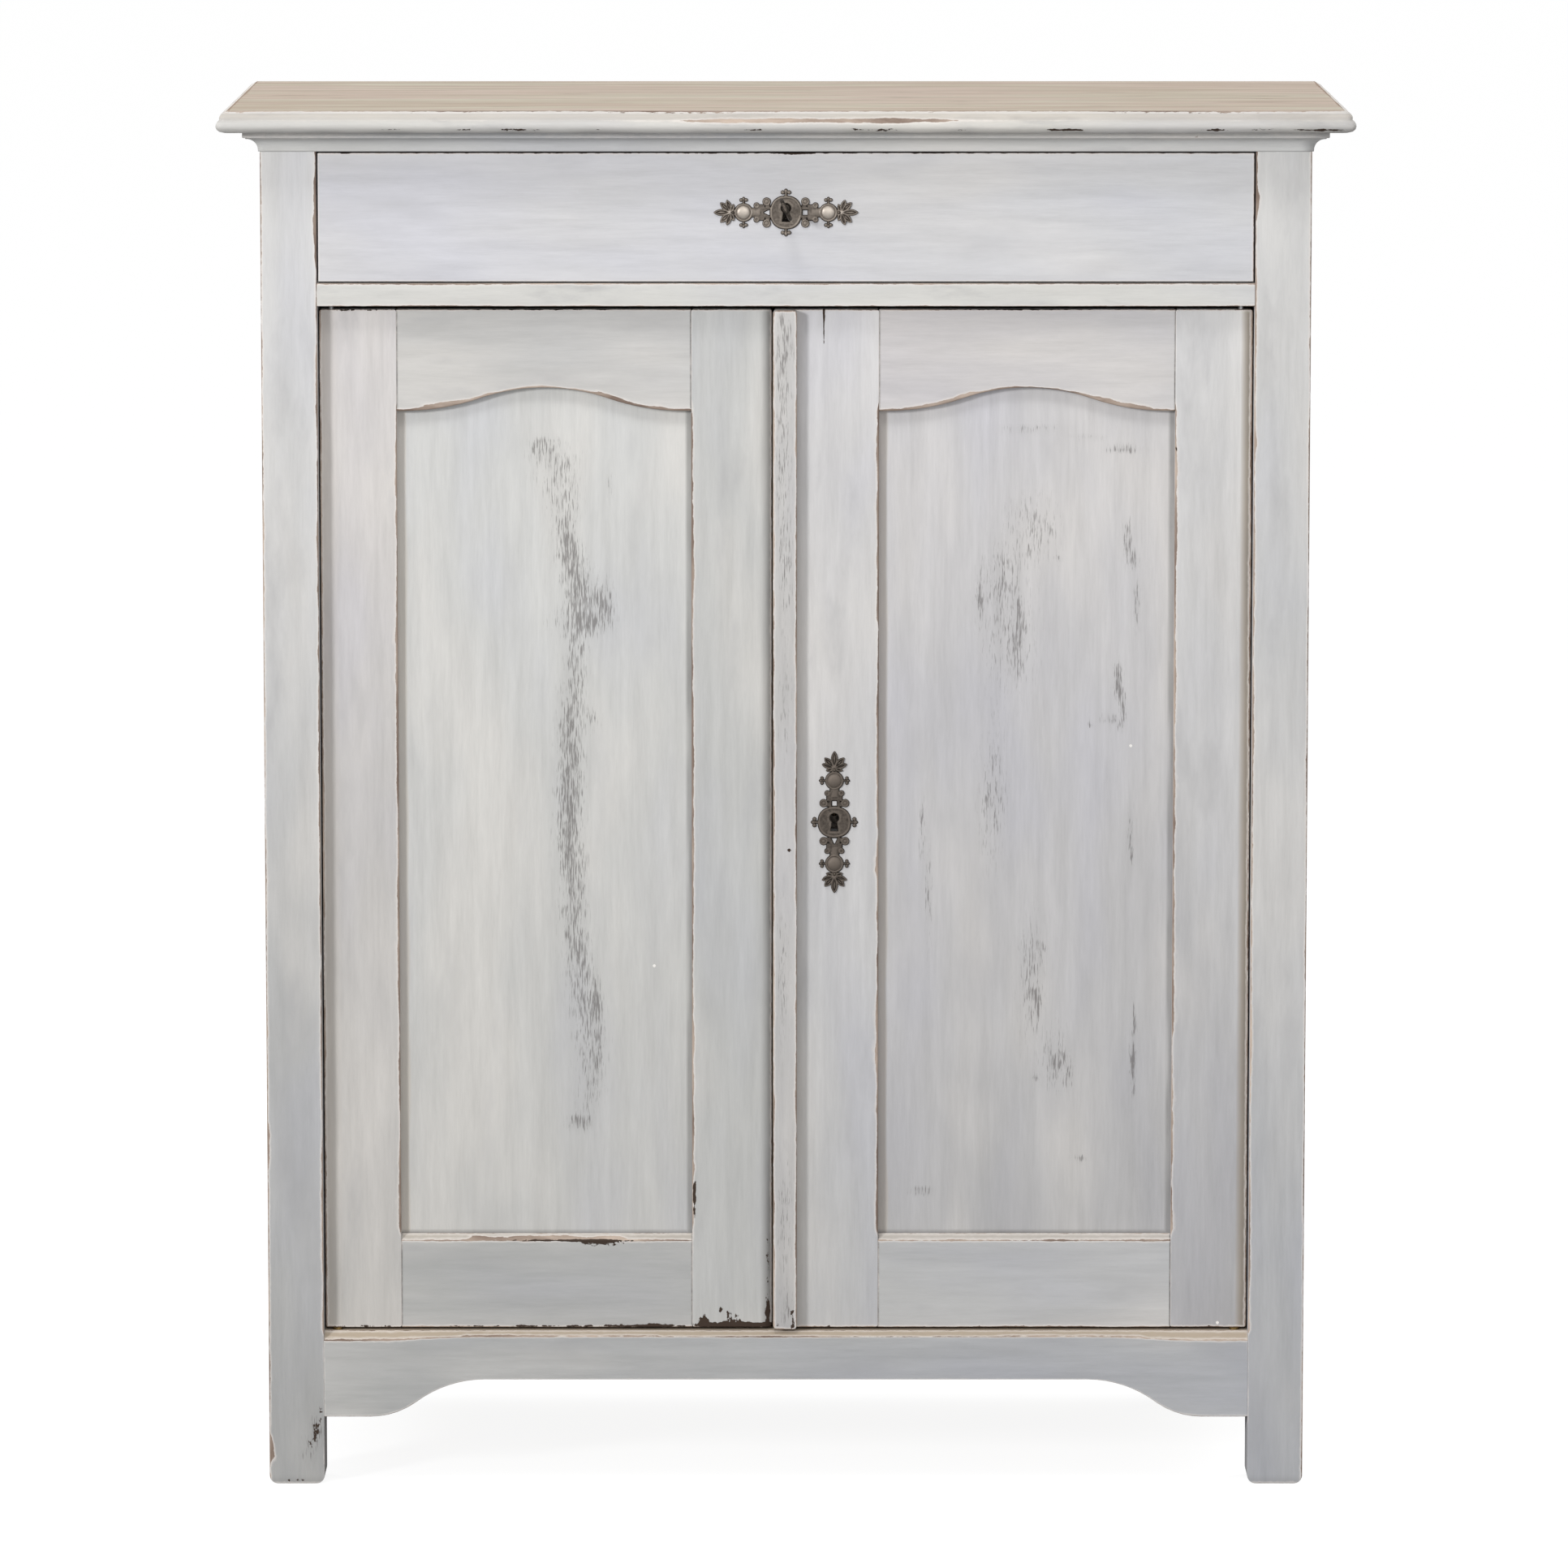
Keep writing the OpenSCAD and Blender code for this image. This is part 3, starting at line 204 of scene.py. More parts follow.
def place(mesh, body, materials, replaces=()):
    """Puts a mesh in the scene as a piece that rides on body, in place of the CAD nodes named."""
    piece = bpy.data.objects.new(mesh.name, mesh)
    bpy.context.scene.collection.objects.link(piece)
    for material in materials:
        mesh.materials.append(material)
    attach(piece, body)
    if replaces:
        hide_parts(*replaces)
    return piece


# Boards

# The front edges of a board by name: the axis that they bound, and whether at its low or high end.
EDGES = {"left": (0, 0), "right": (0, 1), "bottom": (2, 0), "top": (2, 1)}


def corners(node):
    """Lowest and highest corner of a node's box, as arrays."""
    lo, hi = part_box(node)
    return np.array(lo), np.array(hi)


def edge_lines(lo, hi, widths, others=0.2):
    """Bare lines along a board's long edges: front ones with the widths given by name, in
    millimetres, and back ones with one width. A width of -1 is no line."""
    lines = []
    for name, (axis, end) in EDGES.items():
        for y, width in ((lo[1], widths.get(name, others)), (hi[1], others)):
            start, stop = lo.copy(), hi.copy()
            start[axis] = stop[axis] = (lo, hi)[end][axis]
            start[1] = stop[1] = y
            lines.append((start, stop, width))
    return lines


def bare(points, lines, seed):
    """How far inside a bare line each point lies, in millimetres: the line's width, which wanders
    along it, less the distance to it. Points outside all lines are negative."""
    wander = 1 + 0.35 * waves(points, seed, 90 * MM) + 0.3 * waves(points, seed + 1, 22 * MM)
    inside = np.full(len(points), -9.0)
    for start, stop, width in lines:
        start, stop = np.array(start, float), np.array(stop, float)
        along = stop - start
        t = np.clip((points - start) @ along / (along @ along), 0, 1)
        away = np.linalg.norm(points - start - t[:, None] * along, axis=1)
        inside = np.maximum(inside, width * wander - away / MM)
    return inside


def spots(points, ovals):
    """Soft ovals on the front: the sum of their strengths, each fading from its middle. An oval is
    x, z, half width, half height, all in millimetres, and its strength."""
    total = np.zeros(len(points))
    for x, z, half_x, half_z, strength in ovals:
        away = ((points[:, 0] / MM - x) / half_x) ** 2 + ((points[:, 2] / MM - z) / half_z) ** 2
        total += strength * np.exp(-away)
    return total


def streak(points, path):
    """A rubbed streak down a panel: its strength at each point, fading from its middle line. Path
    holds z, x, half width and strength from the foot up, all lengths in millimetres."""
    z, x, half, strength = np.array(path, float).T
    at = points[:, 2] / MM
    away = (points[:, 0] / MM - np.interp(at, z, x)) / np.interp(at, z, half)
    return np.interp(at, z, strength, left=0, right=0) * np.exp(-away ** 2)


def band(distance, reach, soft):
    """One within reach and nothing beyond, with a soft step between."""
    return np.clip((reach - distance) / soft, 0, 1)


def wear_layer(inside):
    """The edge layer at a depth inside a bare line, in millimetres: 1 where the line ends, and it
    changes by 1 in 4 mm. A little below 1 the paint turns pale, partly worn paint and partly a
    painted highlight."""
    return np.clip(1 + inside / 4, 0, 2)


def between(node, x0, x1):
    """Corners of a rail's box from x0 to x1, without the tenons in its neighbours."""
    lo, hi = corners(node)
    lo[0], hi[0] = x0, x1
    return lo, hi


def at_face(points, lo):
    """One at a board's face and nothing from 7 mm behind it on, with a soft step between."""
    return band(points[:, 1] - lo[1], 7 * MM, 3 * MM)


def board(lo, hi, grain, lines, seed, step=7 * MM, hollow=None, extra=((), (), ()), chips=()):
    """A worn board from lo to hi: points, faces and its layers.

    The box surface is a grid with lines close together at the edges. Its rounding radius grows
    where the wood is bare. The layer of dark marks holds the broken places and the painted shade
    given with them along gaps and in keyholes, all at the face. Extra grid lines may be given
    along each axis."""
    steps = np.full(3, step)
    steps["XYZ".index(grain)] *= 1.6
    x, y, z = (ruled(lo[i], hi[i], steps[i], extra[i]) for i in range(3))
    holes = None if hollow is None else hollow(x, y, z)
    points, faces = skin(x, y, z, holes)
    inside = bare(points, lines, seed)
    radius = (0.5 + 0.55 * np.clip(inside + 0.6, 0, 1.8)) * MM
    layers = {"wear": wear_layer(inside), "chip_and_shade": spots(points, chips) * at_face(points, lo)}
    return rounded(points, lo, hi, radius), faces, layers


def bevelled(points, lo, hi, edge, width, depth, power=1.0):
    """Leans the face back towards one edge: within width of it a point goes back by up to depth, by
    the distance to the power given, and less the deeper it lies in the board."""
    axis, end = EDGES[edge]
    near = np.clip(1 - np.abs(points[:, axis] - (lo, hi)[end][axis]) / width, 0, 1) ** power
    moved = points.copy()
    moved[:, 1] += depth * near * (1 - (points[:, 1] - lo[1]) / (hi[1] - lo[1]))
    return moved


def round_corners(points, lo, hi, radius, ends):
    """Rounds the corners of the face at its low end, its high end or both: a point outside the
    circle of that radius about a corner's centre is drawn back to it."""
    low = lo[2] + radius if "low" in ends else lo[2] - 1
    high = hi[2] - radius if "high" in ends else hi[2] + 1
    centre_x = np.clip(points[:, 0], lo[0] + radius, hi[0] - radius)
    centre_z = np.clip(points[:, 2], low, high)
    dx, dz = points[:, 0] - centre_x, points[:, 2] - centre_z
    length = np.hypot(dx, dz)
    pull_in = np.where(length > radius, radius / np.maximum(length, 1e-9), 1)
    moved = points.copy()
    moved[:, 0] = centre_x + dx * pull_in
    moved[:, 2] = centre_z + dz * pull_in
    return moved


def s_height(x, run, rise, turn):
    """Height of an S of two tangent arcs at the distance x along its run; the arcs meet at turn."""
    sweep = 2 * math.atan(rise / run)
    whole = run / math.sin(sweep)
    low, high = whole * turn, whole * (1 - turn)
    x = np.clip(x, 0, run)
    return np.where(x < run * turn, low - np.sqrt(np.maximum(low ** 2 - x ** 2, 0)),
                    rise - high + np.sqrt(np.maximum(high ** 2 - (run - x) ** 2, 0)))


def lifted_foot(points, z0, z1, rise):
    """Lifts the lower edge of a board, at z0, by rise, and the rest less, up to nothing at z1."""
    share = (z1 - points[:, 2]) / (z1 - z0)
    bent = points.copy()
    bent[:, 2] += rise * share
    return bent


def cells_between(lo, hi):
    """Marks the cells of a board whose middle lies between two corners: a hole or slot in it."""
    def hollow(*lines):
        inside = [(lo[i] < (at[1:] + at[:-1]) / 2) & ((at[1:] + at[:-1]) / 2 < hi[i])
                  for i, at in enumerate(lines)]
        return inside[0][:, None, None] & inside[1][None, :, None] & inside[2][None, None, :]
    return hollow


# Finishes: each noise's Scale is one over its size in millimetres.

def chalk_paint(name, grain, seed, ends, span, thin=0.4):
    """Chalk paint brushed over stained wood in thin uneven coats, then rubbed back.

    The eye sees matt chalky patches of grey, lilac and cream that run from one tone to another
    along the board, darker at its low end partly as painted shade, faint brush lines, a thin brown
    or bleached line where an edge is rubbed bare with a paler line beside it that is partly a
    painted highlight, old varnish on ledges, warm painted shadow in strips beside recessed edges,
    dark broken chips, dark painted shade in gaps and keyholes, grey dust and painted shade in
    corners and creases, and a hatch of dark pores where a panel is rubbed. Patches are 150 to 250
    mm wide, brush lines 1 to 6 mm, and the hatch 1 mm by 11 mm. Ends holds the tones at the two
    ends of span, which is in metres along the grain."""
    material, tree, shader = new_material(name, Roughness=0.75, Specular_IOR_Level=0.3)
    # The layers hold real varnish, dust, rubs, wear and chips, and with them painted shade: warm
    # strips beside recessed edges, darkening in corners, creases and gaps, and dark keyholes.
    varnish_and_shade, dust, rubbed, worn, broken = (
        add(tree, "Attribute", attribute_name=layer).outputs["Fac"]
        for layer in ("varnish_and_shade", "grime_and_shade", "rub", "wear", "chip_and_shade"))

    # How far each noise is drawn out along the grain, its seed, size, detail and roughness.
    patch, tint, bristles, worn_patch, dashes, ragged = (
        add(tree, "TexNoise", {"Vector": board_space(tree, grain, drawn, seed + own),
                               "Scale": 1 / size, "Detail": detail, "Roughness": rough})
        for drawn, own, size, detail, rough in (
            (5, 5, 75, 3, 0.55), (3, 9, 85, 2, 0.5), (12, 3, 13, 7, 0.78), (4, 11, 34, 6, 0.62),
            (11, 13, 1.1, 2, 0.6), (2, 17, 4, 5, 0.62)))

    # What each noise drives, and the two ranges between which it does so.
    cool, warm, lines, dust_and_shade_patch, ragged_step, bleached = (
        add(tree, "MapRange", {"Value": noise, "From Min": low, "From Max": high, "To Min": least,
                               "To Max": most})
        for noise, low, high, least, most in (
            (tint, 0.5, 0.68, 0, 0.6), (tint, 0.48, 0.32, 0, 0.28),
            (bristles, 0.3, 0.7, 0.885, 1.095), (worn_patch, 0.3, 0.7, 0.75, 1.15),
            (ragged, 0.3, 0.7, -0.13, 0.13), (worn_patch, 0.42, 0.68, 0, 1)))

    # Along the grain the coat runs from the low end's tone to the high end's; the darker low end is
    # partly painted shade.
    axes = add(tree, "SeparateXYZ", {0: add(tree, "TexCoord").outputs["Object"]})
    along = add(tree, "MapRange", {"Value": axes.outputs["XYZ".index(grain)], "From Min": span[0],
                                   "From Max": span[1], "To Min": 0.1, "To Max": 0.9}, clamp=False)
    along = add(tree, "Math", {0: patch, 1: 0.5, 2: along}, operation="MULTIPLY_ADD")
    along = add(tree, "MapRange", {"Value": along, "From Min": 0.25, "From Max": 1.25})
    coat = add(tree, "Mix", {0: along, 6: ends[0], 7: ends[1]}, data_type="RGBA")
    coat = add(tree, "Mix", {0: cool, 6: coat, 7: (0.93, 0.94, 1, 1)}, data_type="RGBA",
               blend_type="MULTIPLY")
    coat = add(tree, "Mix", {0: warm, 6: coat, 7: "#e6e1da"}, data_type="RGBA")
    coat = add(tree, "Mix", {0: 1.0, 6: coat, 7: lines}, data_type="RGBA", blend_type="MULTIPLY")

    thin_sum = add(tree, "Math", {0: bristles, 1: 0.55, 2: worn_patch}, operation="MULTIPLY_ADD")
    thin_share = add(tree, "MapRange", {"Value": thin_sum, "From Min": 0.83, "From Max": 1.05,
                                        "To Max": thin})

    fleck = add(tree, "TexVoronoi", {"Vector": board_space(tree, grain, 1, seed), "Scale": 1 / 13})
    fleck_size = add(tree, "Math", {0: fleck, 1: 0.11}, operation="LESS_THAN")
    fleck_few = add(tree, "SeparateColor", {0: fleck.outputs["Color"]})
    fleck_few = add(tree, "Math", {0: fleck_few, 1: 0.995}, operation="GREATER_THAN")
    fleck_share = add(tree, "Math", {0: fleck_size, 1: fleck_few}, operation="MULTIPLY")

    # Dust and painted shade in corners, creases and recesses, broken into patches.
    dust_and_shade_share = add(tree, "Math", {0: dust, 1: dust_and_shade_patch}, operation="MULTIPLY", use_clamp=True)
    smear = add(tree, "Math", {0: rubbed, 1: 0.15}, operation="MULTIPLY", use_clamp=True)
    hatch = add(tree, "Math", {0: rubbed, 1: 0.22, 2: dashes}, operation="MULTIPLY_ADD")
    hatch = add(tree, "MapRange", {"Value": hatch, "From Min": 0.62, "From Max": 0.77,
                                   "To Max": 0.64})
    gate = add(tree, "Math", {0: rubbed, 1: 2.5}, operation="MULTIPLY", use_clamp=True)
    hatch_share = add(tree, "Math", {0: hatch, 1: gate}, operation="MULTIPLY")

    # Beside a bare line the coat turns pale: partly worn paint, partly a painted highlight along
    # the edge.
    edge_tone_sum = add(tree, "Math", {0: worn, 1: ragged_step}, operation="ADD")
    pale_and_highlight_share = add(tree, "MapRange", {"Value": edge_tone_sum, "From Min": 0.5, "From Max": 0.92,
                                        "To Max": 0.55})
    wood_share = add(tree, "MapRange", {"Value": edge_tone_sum, "From Min": 0.96, "From Max": 1.03,
                                        "To Max": 0.9})
    stain = add(tree, "Mix", {0: bleached, 6: "#6f5849", 7: "#c8b5a5"}, data_type="RGBA")
    # Dark brown from the layer of marks: real chips, and painted shade along gaps and in keyholes.
    dark_marks_sum = add(tree, "Math", {0: ragged, 1: 1.5, 2: broken}, operation="MULTIPLY_ADD")
    dark_marks_share = add(tree, "MapRange", {"Value": dark_marks_sum, "From Min": 1.3, "From Max": 1.36})

    for share, colour in ((thin_share, "#9c9b9d"), (fleck_share, "#f1eeea"), (varnish_and_shade, "#b8a791"),
                          (dust_and_shade_share, "#6f6d6b"), (smear, "#8d8b8b"), (hatch_share, "#5b5654"),
                          (pale_and_highlight_share, "#ece5df"), (wood_share, stain), (dark_marks_share, "#3a2d24")):
        coat = add(tree, "Mix", {0: share, 6: coat, 7: colour}, data_type="RGBA")

    lost = add(tree, "Math", {0: wood_share, 1: dark_marks_share}, operation="MAXIMUM")
    height = add(tree, "Math", {0: lost, 1: -0.8, 2: bristles}, operation="MULTIPLY_ADD")
    bump = add(tree, "Bump", {"Height": height, "Strength": 0.3, "Distance": 0.3 * MM})
    feed(tree, shader, {"Base Color": coat, "Normal": bump})
    return material


def dry_wash(name, seed):
    """The top: stained boards under a dry, streaky beige wash that has worn away along the grain.

    The eye sees long tan, rose and green-grey streaks, and a brown line where the front edge is
    bare. Streaks are 3 to 12 mm wide and hundreds of millimetres long."""
    material, tree, shader = new_material(name, Roughness=0.62, Specular_IOR_Level=0.3)

    # How far each noise is drawn out along the grain, its seed, size, detail and roughness.
    hue, broad, fine, knot = (
        add(tree, "TexNoise", {"Vector": board_space(tree, "X", drawn, seed + own),
                               "Scale": 1 / size, "Detail": detail, "Roughness": rough})
        for drawn, own, size, detail, rough in (
            (7, 2, 38, 3, 0.5), (22, 0, 12, 5, 0.6), (22, 0, 2.8, 4, 0.65), (9, 4, 16, 6, 0.7)))

    # What each noise drives, and the two ranges between which it does so.
    green, wash, lines, crack, ragged = (
        add(tree, "MapRange", {"Value": noise, "From Min": low, "From Max": high, "To Min": least,
                               "To Max": most})
        for noise, low, high, least, most in (
            (hue, 0.4, 0.6, 0, 1), (broad, 0.36, 0.64, 0, 1), (fine, 0.3, 0.7, 0.85, 1.09),
            (knot, 0.6, 0.68, 0, 0.7), (fine, 0.3, 0.7, -0.2, 0.2)))

    worn = add(tree, "Attribute", attribute_name="wear").outputs["Fac"]
    edge_tone_sum = add(tree, "Math", {0: worn, 1: ragged}, operation="ADD")
    wood = add(tree, "MapRange", {"Value": edge_tone_sum, "From Min": 0.9, "From Max": 1.02,
                                  "To Max": 0.8})
    coat = add(tree, "Mix", {0: green, 6: "#cfbdb0", 7: "#cac4b1"}, data_type="RGBA")
    coat = add(tree, "Mix", {0: wash, 6: "#b3a08c", 7: coat}, data_type="RGBA")
    coat = add(tree, "Mix", {0: 1.0, 6: coat, 7: lines}, data_type="RGBA", blend_type="MULTIPLY")
    coat = add(tree, "Mix", {0: crack, 6: coat, 7: "#7d6a58"}, data_type="RGBA")
    coat = add(tree, "Mix", {0: wood, 6: coat, 7: "#86684f"}, data_type="RGBA")
    bump = add(tree, "Bump", {"Height": fine, "Strength": 0.3, "Distance": 0.3 * MM})
    feed(tree, shader, {"Base Color": coat, "Normal": bump})
    return material


def bare_softwood(name, grain, seed, boards=0.0):
    """Old unpainted spruce inside and behind the cabinet: year lines 3 to 8 mm apart drawn out
    along the grain, fine pores, and grey dust in broad patches. Where boards is their width in
    metres, each board has a tone of its own, up to 8 % lighter or darker."""
    material, tree, shader = new_material(name, Roughness=0.66, Specular_IOR_Level=0.3)
    drawn = board_space(tree, grain, 24, seed)
    rings = add(tree, "TexNoise", {"Vector": drawn, "Scale": 1 / 9, "Detail": 6.0,
                                   "Roughness": 0.68})
    share = add(tree, "MapRange", {"Value": rings, "From Min": 0.38, "From Max": 0.66})
    wood = add(tree, "Mix", {0: share, 6: "#b0936e", 7: "#8f7252"}, data_type="RGBA")
    grey = add(tree, "TexNoise", {"Vector": board_space(tree, grain, 3, seed + 1), "Scale": 1 / 110,
                                  "Detail": 3.0})
    dusty = add(tree, "MapRange", {"Value": grey, "From Min": 0.4, "From Max": 0.65,
                                   "To Max": 0.45})
    wood = add(tree, "Mix", {0: dusty, 6: wood, 7: "#94856f"}, data_type="RGBA")
    pores = add(tree, "TexNoise", {"Vector": drawn, "Scale": 1 / 1.2, "Detail": 2.0})
    tones = [add(tree, "MapRange", {"Value": pores, "From Min": 0.3, "From Max": 0.7, "To Min": 0.9,
                                    "To Max": 1.06})]
    if boards:
        axes = add(tree, "SeparateXYZ", {0: add(tree, "TexCoord").outputs["Object"]})
        number = add(tree, "Math", {0: axes, 1: 1 / boards, 2: 50.5}, operation="MULTIPLY_ADD")
        number = add(tree, "Math", {0: number}, operation="FLOOR")
        own = add(tree, "TexWhiteNoise", {"W": number}, noise_dimensions="1D")
        tones.append(add(tree, "MapRange", {"Value": own, "To Min": 0.92, "To Max": 1.08}))
    for tone in tones:
        wood = add(tree, "Mix", {0: 1.0, 6: wood, 7: tone}, data_type="RGBA", blend_type="MULTIPLY")
    bump = add(tree, "Bump", {"Height": pores, "Strength": 0.25, "Distance": 0.25 * MM})
    feed(tree, shader, {"Base Color": wood, "Normal": bump})
    return material


def aged_metal(name, bright, dark, roughness, grit=1.6, metallic=0.9):
    """Old metal with a patina: bright where it is touched and dark in between, in spots of about
    grit millimetres, with a roughness that follows the patina."""
    material, tree, shader = new_material(name, Metallic=metallic)
    space = board_space(tree, "Z", 1, 4)
    patina = add(tree, "TexNoise", {"Vector": space, "Scale": 1 / (3 * grit), "Detail": 5.0,
                                    "Roughness": 0.65})
    share = add(tree, "MapRange", {"Value": patina, "From Min": 0.38, "From Max": 0.62})
    tone = add(tree, "Mix", {0: share, 6: dark, 7: bright}, data_type="RGBA")
    rough = add(tree, "MapRange", {"Value": share, "To Min": roughness + 0.2, "To Max": roughness})
    grain = add(tree, "TexNoise", {"Vector": space, "Scale": 1 / (0.5 * grit), "Detail": 3.0})
    bump = add(tree, "Bump", {"Height": grain, "Strength": 0.3, "Distance": 0.15 * MM})
    feed(tree, shader, {"Base Color": tone, "Roughness": rough, "Normal": bump})
    return material


def stamped_plate(name, hollow, field, proud, roughness):
    """Stamped nickel brass, tarnished grey-brown: dark in the hollows, dull on the field and bright
    on the proud bosses and rims. The layer rise holds the height from 0 to 1; spots are 1.5 mm."""
    material, tree, shader = new_material(name, Metallic=0.75)
    space = board_space(tree, "Z", 1, 9)
    patina = add(tree, "TexNoise", {"Vector": space, "Scale": 1 / 2.5, "Detail": 5.0,
                                    "Roughness": 0.65})
    rise = add(tree, "Attribute", attribute_name="rise").outputs["Fac"]
    level = add(tree, "Math", {0: patina, 1: 0.55, 2: rise}, operation="MULTIPLY_ADD")
    low = add(tree, "MapRange", {"Value": level, "From Min": 0.4, "From Max": 0.72})
    high = add(tree, "MapRange", {"Value": level, "From Min": 0.8, "From Max": 1.2})
    tone = add(tree, "Mix", {0: low, 6: hollow, 7: field}, data_type="RGBA")
    tone = add(tree, "Mix", {0: high, 6: tone, 7: proud}, data_type="RGBA")
    rough = add(tree, "MapRange", {"Value": high, "To Min": roughness + 0.18, "To Max": roughness})
    grain = add(tree, "TexNoise", {"Vector": space, "Scale": 1 / 0.8, "Detail": 3.0})
    bump = add(tree, "Bump", {"Height": grain, "Strength": 0.3, "Distance": 0.12 * MM})
    feed(tree, shader, {"Base Color": tone, "Roughness": rough, "Normal": bump})
    return material


# Sizes and colours

def length_property(name, description, millimetres):
    """A property that holds a length, given in millimetres."""
    return FloatProperty(name=name, description=description, default=millimetres * MM,
                         unit="LENGTH")


class BuffetSizes(bpy.types.PropertyGroup):
    """Sizes and colours that a user would change."""

    arch_rise: length_property("Arch rise", "Rise of the arch in the doors' top rails", 21.5)
    arch_run: length_property("Arch run", "Half the length of the arch", 128)
    apron_flat: length_property("Apron flat", "Flat end of the apron's lower edge", 43)
    apron_run: length_property("Apron curve", "Length of each S-curve of the apron", 106)
    apron_middle: length_property("Apron middle", "Height of the apron between its curves", 44)
    foot_radius: length_property("Foot radius", "Radius of the lower corners of the feet", 8)
    bow_radius: length_property("Key bow", "Outer radius of the key's bow", 11)
    bow_ring: length_property("Key bow ring", "Width of the ring of the key's bow", 3.6)
    bow_thickness: length_property("Key bow thickness", "Thickness of the key's bow", 3.4)
    shank_radius: length_property("Key shank", "Radius of the key's shank", 2.4)
    key_turn: FloatProperty(name="Key turn", description="How far the key is turned in the lock",
                            default=math.radians(25), subtype="ANGLE")
    lamp_tint: FloatVectorProperty(name="Lamp tint", description="Colour of the soft lamps",
                                   subtype="COLOR", default=linear("#ffffff"), min=0, max=1)


def sizes():
    """The sizes and colours of this scene."""
    return bpy.context.scene.buffet


# Stage

# The camera: the width of the frame and the focal length in its pixels, the width of the sensor,
# the place in metres, how far it looks down in radians, and how far up the frame is shifted, as a
# share of its width.
PHOTO_PIXELS = 1932
FOCAL_PIXELS = 11000
SENSOR_MM = 36
CAMERA_AT = (-0.0018, -8.3085, 1.7613)
CAMERA_TILT = 0.1305
CAMERA_SHIFT = -0.03
# Strength of the world's light on the object.
SOFT_LIGHT = 0.44


class BUFFET_OT_stage(bpy.types.Operator):
    """Camera, lamps, pale floor and white world"""

    bl_idname = "buffet.stage"
    bl_label = "Stage"

    def execute(self, context):
        self.camera(context.scene)
        self.world(context.scene)
        self.floor(context.scene)
        front, back = Vector((0, -0.2, 0.7)), Vector((0, 0.1, 0.7))
        for name, spot, aim, size, power in (("key_lamp", (-6.0, -6.2, 3.0), front, 1.3, 384),
                                             ("top_lamp", (-0.5, -1.5, 3.6), front, 0.8, 23),
                                             ("fill_lamp", (0.6, -5.0, 1.9), front, 2.5, 48),
                                             ("back_left_lamp", (-2.6, 1.9, 1.9), back, 1.6, 30),
                                             ("back_right_lamp", (2.8, 1.6, 1.7), back, 1.6, 55)):
            self.lamp(name, Vector(spot), aim, size, power)
        return {"FINISHED"}

    def camera(self, scene):
        """A long lens from the height that shows the top as in the photograph."""
        data = bpy.data.cameras.new("view_camera")
        data.sensor_width = SENSOR_MM
        data.lens = FOCAL_PIXELS / PHOTO_PIXELS * SENSOR_MM
        data.shift_y = CAMERA_SHIFT
        eye = bpy.data.objects.new("view_camera", data)
        scene.collection.objects.link(eye)
        eye.location = CAMERA_AT
        eye.rotation_euler = (math.pi / 2 - CAMERA_TILT, 0, 0)
        scene.camera = eye
        scene.view_settings.view_transform = "Standard"

    def world(self, scene):
        """White where the camera, a reflection or glass looks, and soft grey light for the rest."""
        world = bpy.data.worlds.new("studio")
        world.use_nodes = True
        tree = world.node_tree
        back = tree.nodes["Background"]
        path = add(tree, "LightPath")
        seen = path.outputs["Is Camera Ray"]
        for ray in ("Is Glossy Ray", "Is Transmission Ray"):
            seen = add(tree, "Math", {0: seen, 1: path.outputs[ray]}, operation="MAXIMUM")
        level = add(tree, "MapRange", {"Value": seen, "To Min": SOFT_LIGHT, "To Max": 1.0})
        feed(tree, back, {"Strength": level, "Color": (1, 1, 1, 1)})
        scene.world = world

    def floor(self, scene):
        """A pale floor that the camera sees as white, with the cabinet's soft shadow on it."""
        size = 30.0
        mesh = bpy.data.meshes.new("floor")
        mesh.from_pydata([(-size, -size, 0), (size, -size, 0), (size, size, 0), (-size, size, 0)],
                         [], [(0, 1, 2, 3)])
        ground = bpy.data.objects.new("floor", mesh)
        scene.collection.objects.link(ground)
        material, tree, shader = new_material("matt_studio_floor", Roughness=0.9,
                                              Specular_IOR_Level=0.0)
        feed(tree, shader, {"Base Color": (0.35, 0.35, 0.35, 1)})
        path = add(tree, "LightPath")
        shade = add(tree, "BsdfDiffuse", {"Color": (0.22, 0.22, 0.22, 1)})
        glow = add(tree, "Emission", {"Color": (1, 1, 1, 1), "Strength": 0.9})
        both = add(tree, "AddShader", {0: shade, 1: glow})
        seen = add(tree, "MixShader", {0: path.outputs["Is Camera Ray"], 1: shader, 2: both})
        feed(tree, tree.nodes["Material Output"], {"Surface": seen})
        mesh.materials.append(material)

    def lamp(self, name, spot, aim, size, power):
        """A soft square lamp at spot that looks at aim."""
        data = bpy.data.lights.new(name, "AREA")
        data.size = size
        data.energy = power
        data.color = sizes().lamp_tint
        lamp = bpy.data.objects.new(name, data)
        bpy.context.scene.collection.objects.link(lamp)
        lamp.location = spot
        lamp.rotation_euler = (aim - spot).to_track_quat("-Z", "Y").to_euler()


# Carcass

